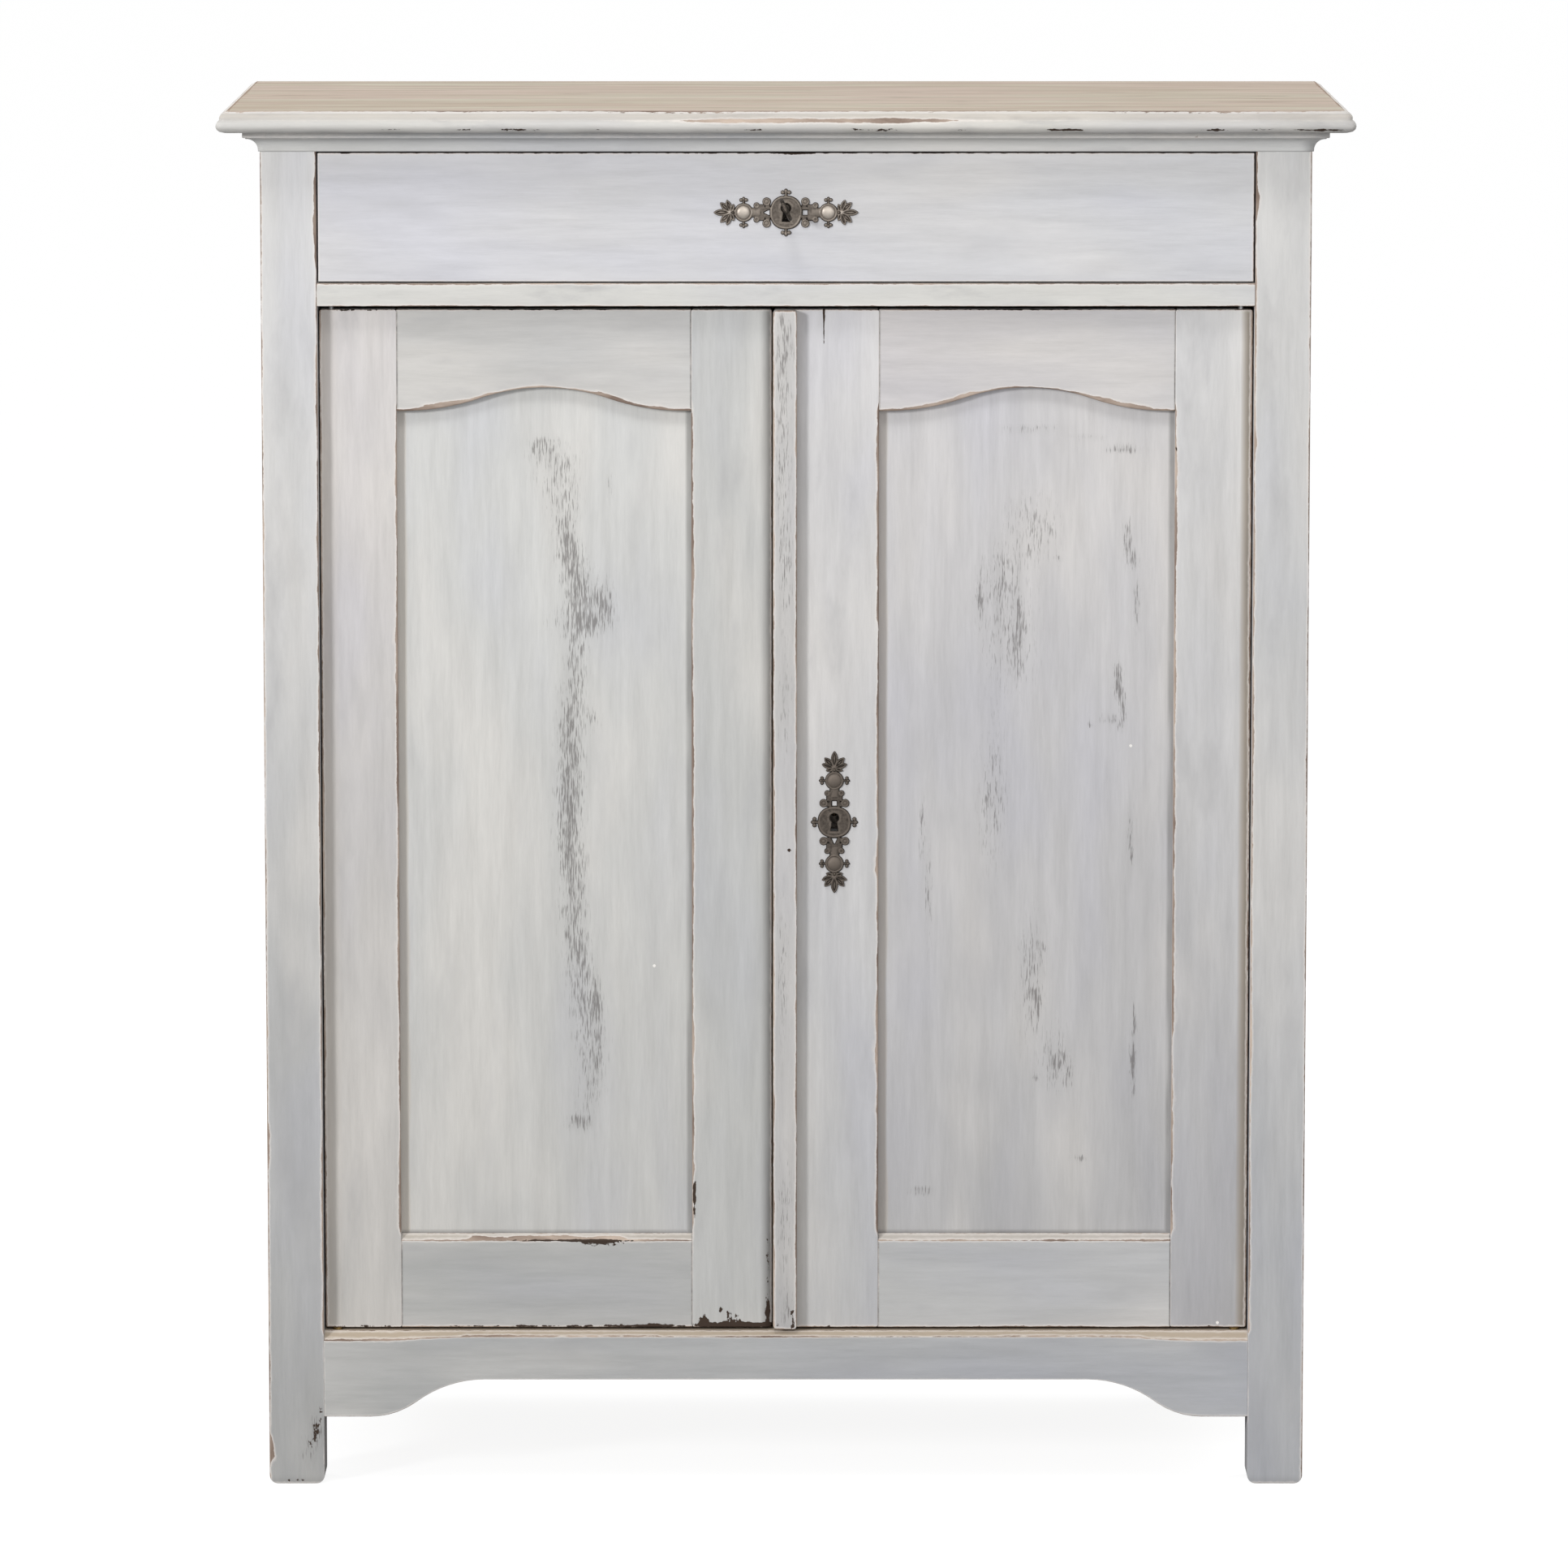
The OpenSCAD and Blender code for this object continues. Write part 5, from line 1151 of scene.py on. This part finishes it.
        # A dark band along the foot, stronger on the left door: partly chips, partly painted shade
        # that widens the gap under the door.
        chips = [((x0 + x1) / 2 / MM, lo[2] / MM + 1, 150, 1.8, 0.62 if side == "left" else 0.4)]
        if side == "left":
            lines.append(((-0.29, lo[1], arris + 1.5 * MM), (-0.15, lo[1], arris + 1.5 * MM), 1.9))
            chips += [(-205, 226, 70, 1.2, 0.75), (-172, 224, 28, 3, 0.75), (-125, 146, 34, 3, 0.6)]
        points, faces, layers = board(
            lo, hi, "X", lines, seed, step=5 * MM, chips=chips,
            extra=((), (), arris + np.array([-2.5, -1.2, -0.5, 0, 0.5, 1.2, 2.0]) * MM))
        layers["grime_and_shade"] = self.joint(points, x0, x1)
        layers["varnish_and_shade"] = 0.4 * band(hi[2] - points[:, 2], 5.9 * MM, 0.8 * MM)
        points = bevelled(points, lo, hi, "top", ledge, 7 * MM)
        paint_board(node, side + "_door", (points, faces, layers), "X", seed, (x0, x1))

    def joint(self, points, x0, x1):
        """Dust in the hairline where a rail meets the stiles."""
        return 0.95 * band(np.minimum(points[:, 0] - x0, x1 - points[:, 0]), 1.4 * MM, 0.8 * MM)

    def panel(self, node, side, open_x, open_z, rubs, path, seed):
        """The flat panel: darkened along the edges of its opening by dust and painted shade, and
        rubbed in places.
        """
        lo, hi = corners(node)
        points, faces, layers = board(lo, hi, "Z", [], seed, step=2.6 * MM,
                                      extra=(open_x[0] + np.arange(1, 11) * MM, (), ()))
        s = sizes()
        middle = (open_x[0] + open_x[1]) / 2
        arch = open_z[1] + s_height(s.arch_run - np.abs(points[:, 0] - middle), s.arch_run,
                                    s.arch_rise, ARCH_TURN)
        drift = 0.8 * MM * waves(points, seed + 1, 120 * MM)
        from_left = points[:, 0] - open_x[0]
        # A warm strip along the left edge: painted shadow of the stile.
        layers["varnish_and_shade"] = 0.3 * band(from_left + drift, 9 * MM, 2 * MM)
        # Darker along the right edge and along the foot, with a dark line where it meets the bottom
        # rail: dust and painted shade. Under the arch a faint band of painted shadow.
        layers["grime_and_shade"] = np.maximum.reduce([
            0.62 * band(open_x[1] - points[:, 0] + 0.6 * drift, 4.8 * MM, 1.4 * MM),
            0.10 * band(arch - points[:, 2] + drift, 15 * MM, 5 * MM),
            0.12 * band(points[:, 2] - open_z[0] + drift, 6 * MM, 8 * MM),
            0.8 * band(points[:, 2] - open_z[0] + 0.5 * drift, 1.8 * MM, 1.2 * MM)])
        rub = spots(points, rubs) + (streak(points, path) if path else 0)
        layers["rub"] = rub * (points[:, 1] < (lo[1] + hi[1]) / 2)
        paint_board(node, side + "_door", (points, faces, layers), "Z", seed, (lo[2], hi[2]), 0.25)

    def batten(self):
        """The narrow cover batten, rounder than the boards, more worn and chipped at its foot. It
        starts a little farther left than its solid and is 2 mm narrower."""
        lo, hi = corners("right_door_batten")
        lo[0] -= 0.9 * MM
        hi[0] -= 3 * MM
        lines = edge_lines(lo, hi, {"left": 1.0, "right": 0.9, "top": 0.7, "bottom": 0.8}, 0.4)
        fine = np.linspace(-1.6, 1.6, 7)
        points, faces, layers = board(lo, hi, "Z", lines, 103, step=3 * MM,
                                      extra=((3 + fine) * MM, (), (592 + fine) * MM),
                                      chips=[(6, 158, 3, 9, 0.7), (-7, 149, 3, 4, 0.8),
                                             (6, 148, 3, 4, 0.7), (3, 592, 1.6, 1.6, 1.2)])
        layers["grime_and_shade"] = 0.2 * band(points[:, 2] - lo[2], 3 * MM, 8 * MM)
        layers["rub"] = spots(points, BATTEN_RUBS)
        points = round_corners(points, lo, hi, 4 * MM, "low high")
        paint_board("right_door_batten", "right_door", (points, faces, layers), "Z", 105,
                    (lo[2], hi[2]), 0.5, "batten")


# Fittings

def leaf(u, v, root, angle, length, width):
    """Distance from a leaf that grows from root on the long axis, negative inside. Its half width
    is a power of a sine, fullest past the middle, so its root is blunt and its tip pointed."""
    c, s = math.cos(angle), math.sin(angle)
    along = ((u - root) * c + v * s) / length
    across = np.abs(v * c - (u - root) * s)
    t = np.clip(along, 0, 1)
    half = width / 2 * np.sin(math.pi * t ** 1.15) ** 0.7
    return np.where(along == t, across - half, np.hypot(across, (along - t) * length))


def hump(away):
    """A parabola that is 1 at zero and 0 from 1 on."""
    return np.clip(1 - away ** 2, 0, 1)


def dome(away):
    """A half circle that is 1 at zero and 0 from 1 on."""
    return np.sqrt(np.clip(1 - away ** 2, 0, 1))


def stamping(u, v, key_across, key_up):
    """The escutcheon as a field: distance from its outline, negative inside, and its height, both
    in millimetres, at the places u along it and v across it.

    The outline is the union of a full plate, lobes, ears, necks, discs, trefoils and a palmette of
    seven leaves at each end, all mirrored, less two piercings and the keyhole. The height is a
    plate with a soft edge, plus rims, bosses and hollow leaves."""
    a, b = np.abs(u), np.abs(v)
    plate = ((a / 14.6) ** 2.3 + (b / 15.5) ** 2.3) ** (1 / 2.3) * 15 - 15
    lobe = np.hypot(a - 17.6, b - 9.9) - 3.9
    horn = np.hypot(a - 26.8, b - 6.5) - 2.8
    from_disc = a - 38.5
    disc = np.hypot(from_disc, b) - 8.7
    hub = np.hypot(a - 51.5, b) - 4.1
    small = [np.hypot(from_disc - 2.3, b - 11.4) - 1.7, np.hypot(from_disc + 2.3, b - 11.4) - 1.7,
             np.hypot(from_disc, (b - 12.6) * 0.8) - 1.4]
    large = [np.hypot(a - 2.9, b - 18.3) - 1.95, np.hypot(a, (b - 19.6) * 0.8) - 1.75]
    leaves = [leaf(a, b, 50, math.radians(angle), length, width)
              for angle, length, width in ((0, 15.8, 6.4), (43, 13.4, 5.8), (72, 12.2, 5.2),
                                           (108, 8.2, 4.2))]
    bars = [np.maximum(a - 22, b - 5.4), np.maximum(np.abs(a - 22.5) - 3.4, b - 7.6),
            np.maximum(np.abs(a - 26.4) - 2.5, b - 6.9), np.maximum(from_disc, b - 4.6),
            np.maximum(np.abs(a - 48) - 5, b - 2.9), np.maximum(np.abs(b - 16) - 3, a - 1.5),
            np.maximum(np.abs(from_disc) - 1.3, b - 11.5),
            np.maximum(np.abs(a - 16.5) - 2.4, b - 10)]
    outline = np.minimum.reduce([plate, lobe, horn, disc, hub, *small, *large, *leaves, *bars])
    round_part = np.hypot(key_across, key_up - 4) - 4
    skirt = np.maximum(np.abs(key_across) - (1.8 + 1.5 * np.clip((4 - key_up) / 12, 0, 1) ** 1.5),
                       np.maximum(key_up - 4, -8 - key_up))
    square = np.maximum(np.abs(u - 17.4), b) - 2.1
    wedge = np.maximum(np.abs(u + 17.4) - 2.4, b - (u + 20.4) * 0.48)
    holes = np.minimum.reduce([round_part, skirt, square, wedge])
    away = np.maximum(outline, -holes)

    edge = np.clip(-away / 1.1, 0, 1)
    height = 0.45 + 0.85 * (1 - (1 - edge) ** 2)
    height += 0.45 * hump(plate + 1.5) + 0.2 * hump(np.minimum(round_part, skirt) / 2.0 - 0.6)
    height += 0.5 * hump((disc + 1.3) / 0.9) * (outline < 0) + 1.6 * dome((disc + 8.7) / 6.2)
    height += 0.5 * hump((lobe + 0.9) / 0.8) * (outline < 0) + 0.35 * dome((lobe + 3.9) / 1.6)
    height += 0.35 * hump((horn + 0.9) / 0.8) * (outline < 0)
    height += 0.4 * hump(b / 3.0) * (np.abs(a - 27.5) < 4) + 0.45 * dome((hub + 4.1) / 2.2)
    for part in small + large:
        height += 0.35 * hump((part + 1.2) / 1.2)
    blade = np.minimum.reduce(leaves)
    height += (a > 47) * (0.5 * hump((blade + 0.7) / 0.7) - 0.35 * hump((blade + 2.1) / 0.8)
                          + 0.35 * hump((blade + 2.9) / 0.7))
    return away, height


def relief(field, long, short, step, base, forward):
    """A plate cut out of a grid: the points x, y, z of its surface in millimetres, its faces, and
    the height of each point, which is 0 at the back.

    Field gives the distance from the outline, negative inside, and the height. The cells with
    their middle inside make a closed plate, whose outer points slide down the field's slope onto
    the outline. The front stands out from base by its height, forwards for -1."""
    mid_x, mid_z = np.meshgrid((long[1:] + long[:-1]) / 2, (short[1:] + short[:-1]) / 2,
                               indexing="ij")
    full = field(mid_x, mid_z)[0] < 0
    points, faces = skin(long, np.array([0.0, 1.0]), short, ~full[:, None, :])
    padded = np.pad(full, 1)
    deep = padded[1:, 1:] & padded[1:, :-1] & padded[:-1, 1:] & padded[:-1, :-1]
    i = np.searchsorted(long, points[:, 0] - step / 2)
    k = np.searchsorted(short, points[:, 2] - step / 2)
    rim = ~deep[i, k]
    x, z = points[:, 0].copy(), points[:, 2].copy()
    near = 0.05
    for _ in range(2):
        here = field(x, z)[0]
        slope_x = (field(x + near, z)[0] - field(x - near, z)[0]) / (2 * near)
        slope_z = (field(x, z + near)[0] - field(x, z - near)[0]) / (2 * near)
        steep = np.maximum(slope_x ** 2 + slope_z ** 2, 0.3)
        move = np.clip(here, -0.3, 0.3) * rim / steep
        x, z = x - move * slope_x, z - move * slope_z
    front = points[:, 1] < 0.5 if forward < 0 else points[:, 1] > 0.5
    height = np.where(front, field(x, z)[1], 0)
    return np.stack([x, base + forward * height, z], 1), faces, height


# A pin of an escutcheon, as radius and height in millimetres from the tip of its head to its point,
# and how far from the middle of the plate the two stand.
PIN = [(0.2, 2.9), (0.8, 2.7), (1.2, 2.3), (1.35, 1.6), (1.3, -4), (0.3, -9)]
PIN_AT = 48.2 * MM


class BUFFET_OT_escutcheons(bpy.types.Operator):
    """The two stamped escutcheons and the pins that hold them"""

    bl_idname = "buffet.escutcheons"
    bl_label = "Escutcheons"

    def execute(self, context):
        dull = stamped_plate("tarnished_stamped_nickel_brass", "#2a2520", "#736a62", "#6e655d", 0.6)
        bright = stamped_plate("rubbed_stamped_nickel_brass", "#332b25", "#857c73", "#b5aca2", 0.42)
        self.plate("drawer_escutcheon", "drawer", False, bright)
        self.plate("door_escutcheon", "right_door", True, dull)
        return {"FINISHED"}

    def plate(self, node, body, upright, finish):
        """The stamping on a grid of 0.4 mm, along X on the drawer and upright on the door."""
        cx, cz = plate_centre(node)
        lo, hi = corners(node)
        step = 0.4
        long, short = np.arange(-66.8, 66.81, step), np.arange(-22.8, 22.81, step)

        def field(x, z):
            """The stamping, with its long axis upright or along X, and its keyhole upright."""
            return stamping(z, x, x, z) if upright else stamping(x, z, x, z)

        shape, faces, height = relief(field, short if upright else long, long if upright else short,
                                      step, 0, -1)
        shape = shape * MM + (cx, hi[1], cz)
        shape[:, 1] = np.maximum(shape[:, 1], lo[1])
        mesh = fill_mesh(node + "_stamped", shape, faces,
                         {"rise": np.where(height > 0, np.clip((height - 0.7) / 1.9, 0, 1), 0)})
        place(mesh, body, [finish], [node])
        pins = []
        for side in (-1, 1):
            reach = side * PIN_AT
            at = (cx, hi[1], cz + reach) if upright else (cx + reach, hi[1], cz)
            pins.append(turned(PIN, at, 12))
        points, faces = joined(pins)
        mesh = fill_mesh(node + "_pins", points, faces)
        place(mesh, body, [aged_metal("pin_heads_" + body, "#6d655c", "#2f2a26", 0.4, 0.8)])


def turned(profile, centre, steps):
    """A surface of revolution round a line along Y through centre. The profile is radius and height
    in millimetres, from the tip that looks at the viewer to the foot; a strip of quads closes
    the small ring at each end."""
    profile = np.array(profile, float)
    angle = np.arange(steps) * 2 * math.pi / steps
    x = profile[:, :1] * np.cos(angle)
    z = profile[:, :1] * np.sin(angle)
    y = np.broadcast_to(-profile[:, 1:], x.shape)
    points = np.stack([x, y, z], 2).reshape(-1, 3) * MM + np.array(centre)
    k = np.arange(steps // 2 - 1)
    cap = np.stack([k, k + 1, steps - 2 - k, steps - 1 - k], 1)
    foot = cap + (len(profile) - 1) * steps
    return points, np.concatenate([tube_faces(len(profile), steps), cap[:, ::-1], foot])


def joined(parts):
    """Several shells of quads as one: their points and faces."""
    shift = np.cumsum([0] + [len(points) for points, _ in parts[:-1]])
    return (np.concatenate([points for points, _ in parts]),
            np.concatenate([faces + start for (_, faces), start in zip(parts, shift)]))


class BUFFET_OT_key(bpy.types.Operator):
    """The drawer's key: an oval-section bow, a turned shank with collars, and a notched bit"""

    bl_idname = "buffet.key"
    bl_label = "Key"

    def execute(self, context):
        s = sizes()
        lo, hi = corners("drawer_key")
        plate_lo, plate_hi = corners("drawer_escutcheon")
        axis_x, axis_z = 0.0, (plate_lo[2] + plate_hi[2]) / 2 + 4 * MM
        ring = s.bow_radius - s.bow_ring / 2
        bow_y = lo[1] + s.bow_radius
        parts = [self.bow(ring, s.bow_ring / 2, s.bow_thickness / 2, bow_y),
                 self.shank(bow_y + ring, plate_lo[1], hi[1], s.shank_radius)]
        parts += self.bit(hi[1], s.shank_radius)
        points, faces = joined(parts)
        turn = s.key_turn
        x = points[:, 0] * math.cos(turn) - points[:, 2] * math.sin(turn)
        z = points[:, 0] * math.sin(turn) + points[:, 2] * math.cos(turn)
        points = np.stack([axis_x + x, points[:, 1], axis_z + z], 1)
        mesh = fill_mesh("drawer_key_turned", points, faces)
        place(mesh, "key", [aged_metal("handled_dark_iron", "#5f5750", "#2a2622", 0.45, 1.2)],
              ["drawer_key"])
        return {"FINISHED"}

    def bow(self, ring, half_wide, half_thick, bow_y):
        """A ring in the plane of the shank: round its middle line at ring, an oval section."""
        count, around = 48, 14
        a, b = np.meshgrid(np.arange(count) * 2 * math.pi / count,
                           np.arange(around) * 2 * math.pi / around, indexing="ij")
        wide = half_wide * (1 + 0.12 * np.cos(a))
        out = ring + wide * np.cos(b) * half_wide / wide.max()
        points = np.stack([half_thick * np.sin(b), bow_y + out * np.cos(a), out * np.sin(a)],
                          2).reshape(-1, 3)
        return points, tube_faces(count, around, ring=True)

    def shank(self, start, plate, end, radius):
        """A turned rod from the bow to the lock, with a collar at the bow and one at the plate."""
        r = radius / MM
        length = (end - start) / MM
        collar = (end - plate) / MM + 1.6
        profile = [(r * 0.8, length), (r * 0.95, length - 1.2), (r, length - 1.7),
                   (r + 0.6, length - 2.2), (r + 0.9, length - 2.8), (r + 0.7, length - 3.4),
                   (r, length - 4), (r, collar + 0.8), (r + 1.0, collar + 0.4),
                   (r + 1.2, collar - 0.4), (r + 1.0, collar - 1.2), (r, collar - 1.6), (r, 0.5),
                   (r - 0.2, 0.15), (r * 0.6, 0)]
        return turned(profile, (0, end, 0), 20)

    def bit(self, end, radius):
        """Two flat wards under the shank, which the notch between them parts."""
        parts = []
        for back, front, drop in ((8.5, 5.7, 8.8), (5.8, 4.7, 5.6), (4.8, 2.0, 8.8)):
            lo = np.array([-radius / 2, end - back * MM, -drop * MM])
            hi = np.array([radius / 2, end - front * MM, 0])
            x, y, z = (ruled(lo[i], hi[i], 2 * MM) for i in range(3))
            points, faces = skin(x, y, z)
            parts.append((rounded(points, lo, hi, np.full(len(points), 0.25 * MM)), faces))
        return parts


class BUFFET_OT_screws(bpy.types.Operator):
    """Slotted screws in the lock cases and the lock keeper"""

    bl_idname = "buffet.screws"
    bl_label = "Screws"

    def execute(self, context):
        finish = aged_metal("slotted_steel_screws", "#a19a90", "#4c443c", 0.38, 0.9)
        inset = 4.5 * MM
        for node, body, radius in (("drawer_lock_case", "drawer", 2.6),
                                   ("door_lock_case", "right_door", 2.6),
                                   ("left_door_lock_keeper", "left_door", 2.0)):
            lo, hi = corners(node)
            spots = [(x, z) for x in (lo[0] + inset, hi[0] - inset)
                     for z in (lo[2] + inset, hi[2] - inset)]
            self.heads(node + "_screws", body, spots, hi[1], radius, finish)
        return {"FINISHED"}

    def heads(self, name, body, spots, y, radius, finish):
        """Domed heads on the back of a fitting: height falls with the square of the distance from
        the middle, and a slot of its own direction is cut across each."""
        parts = []
        for number, (x, z) in enumerate(spots):
            turn = 0.4 + 1.1 * number

            def field(u, v):
                away = np.hypot(u, v)
                slot = np.abs(u * math.cos(turn) + v * math.sin(turn)) < 0.36
                return away - radius, 1.0 - 0.5 * (away / radius) ** 2 - 0.55 * slot

            grid = np.arange(-radius - 0.2, radius + 0.21, 0.2)
            points, faces, _ = relief(field, grid, grid, 0.2, 0, 1)
            parts.append((points * MM + (x, y - 0.05 * MM, z), faces))
        points, faces = joined(parts)
        place(fill_mesh(name, points, faces), body, [finish])


# Carried-over CAD pieces

METALS = {
    "dark_iron": ("drawer_lock_case", "drawer_lock_bolt", "door_lock_case", "door_lock_bolt",
                  "left_door_top_bolt", "left_door_bottom_bolt", "left_door_bolt_keepers",
                  "left_door_lock_keeper"),
    "turned_steel": ("left_door_pivots", "right_door_pivots"),
    "worn_brass": ("pivot_bushes",),
}
ALONG_X = ("front_top_rail", "back_top_rail", "back_bottom_rail", "shelf", "floor_board",
           "drawer_back", "drawer_bottom")


class BUFFET_OT_carried(bpy.types.Operator):
    """Finishes for the CAD pieces that keep their shape"""

    bl_idname = "buffet.carried"
    bl_label = "Inside and fittings"

    def execute(self, context):
        wood = {grain: bare_softwood("old_spruce_along_" + grain.lower(), grain, seed)
                for grain, seed in (("X", 3), ("Y", 5))}
        lo, hi = corners("back_boards")
        wood["Z"] = bare_softwood("old_spruce_back_boards", "Z", 7, boards=(hi[0] - lo[0]) / 5)
        metal = {
            "dark_iron": aged_metal("oiled_dark_iron", "#6a625b", "#2d2927", 0.42),
            "turned_steel": aged_metal("turned_steel", "#b9babb", "#8f8f90", 0.28),
            "worn_brass": aged_metal("worn_brass", "#8f7748", "#5c4a2d", 0.35),
        }
        depth = (corners("front_left_post")[0][1], corners("back_left_post")[1][1])
        height = (0.0, corners("front_left_post")[1][2])
        side_rails = chalk_paint("chalk_paint_side_rails", "Y", 15, PAINT_AND_SHADE["side_rails"], depth)
        side_panels = chalk_paint("chalk_paint_side_panels", "Z", 17, PAINT_AND_SHADE["side_panels"], height)
        for node, thing in NODES.items():
            if thing.hide_render:
                continue
            of_metal = next((kind for kind, nodes in METALS.items() if node in nodes), None)
            if of_metal:
                finish = metal[of_metal]
            elif node.endswith("side_panels"):
                finish = side_panels
            elif node.startswith(("left_", "right_")) and node.endswith("rail"):
                finish = side_rails
            else:
                finish = wood["X" if node in ALONG_X else "Z" if node == "back_boards" else "Y"]
            for slot in thing.material_slots:
                slot.link = "OBJECT"
                slot.material = finish
        return {"FINISHED"}


class BUFFET_PT_panel(bpy.types.Panel):
    """Lists the steps that dress the cabinet"""

    bl_idname = "BUFFET_PT_panel"
    bl_label = "Buffet cabinet"
    bl_space_type = "VIEW_3D"
    bl_region_type = "UI"
    bl_category = "Buffet"

    def draw(self, context):
        layout = self.layout
        for name in BuffetSizes.__annotations__:
            layout.prop(context.scene.buffet, name)
        for step in STEPS:
            layout.operator(step.bl_idname)


STEPS = (BUFFET_OT_stage, BUFFET_OT_posts, BUFFET_OT_rails, BUFFET_OT_top, BUFFET_OT_drawer,
         BUFFET_OT_doors, BUFFET_OT_escutcheons, BUFFET_OT_key, BUFFET_OT_screws, BUFFET_OT_carried)
CLASSES = (BuffetSizes, *STEPS, BUFFET_PT_panel)


def register():
    """Registers the classes and gives the scene its sizes."""
    for cls in CLASSES:
        bpy.utils.register_class(cls)
    bpy.types.Scene.buffet = PointerProperty(type=BuffetSizes)


def unregister():
    """Takes the scene's sizes and the classes away again."""
    del bpy.types.Scene.buffet
    for cls in reversed(CLASSES):
        bpy.utils.unregister_class(cls)


def main():
    register()
    for step in STEPS:
        group, action = step.bl_idname.split(".")
        getattr(getattr(bpy.ops, group), action)()


if __name__ == "__main__":
    main()
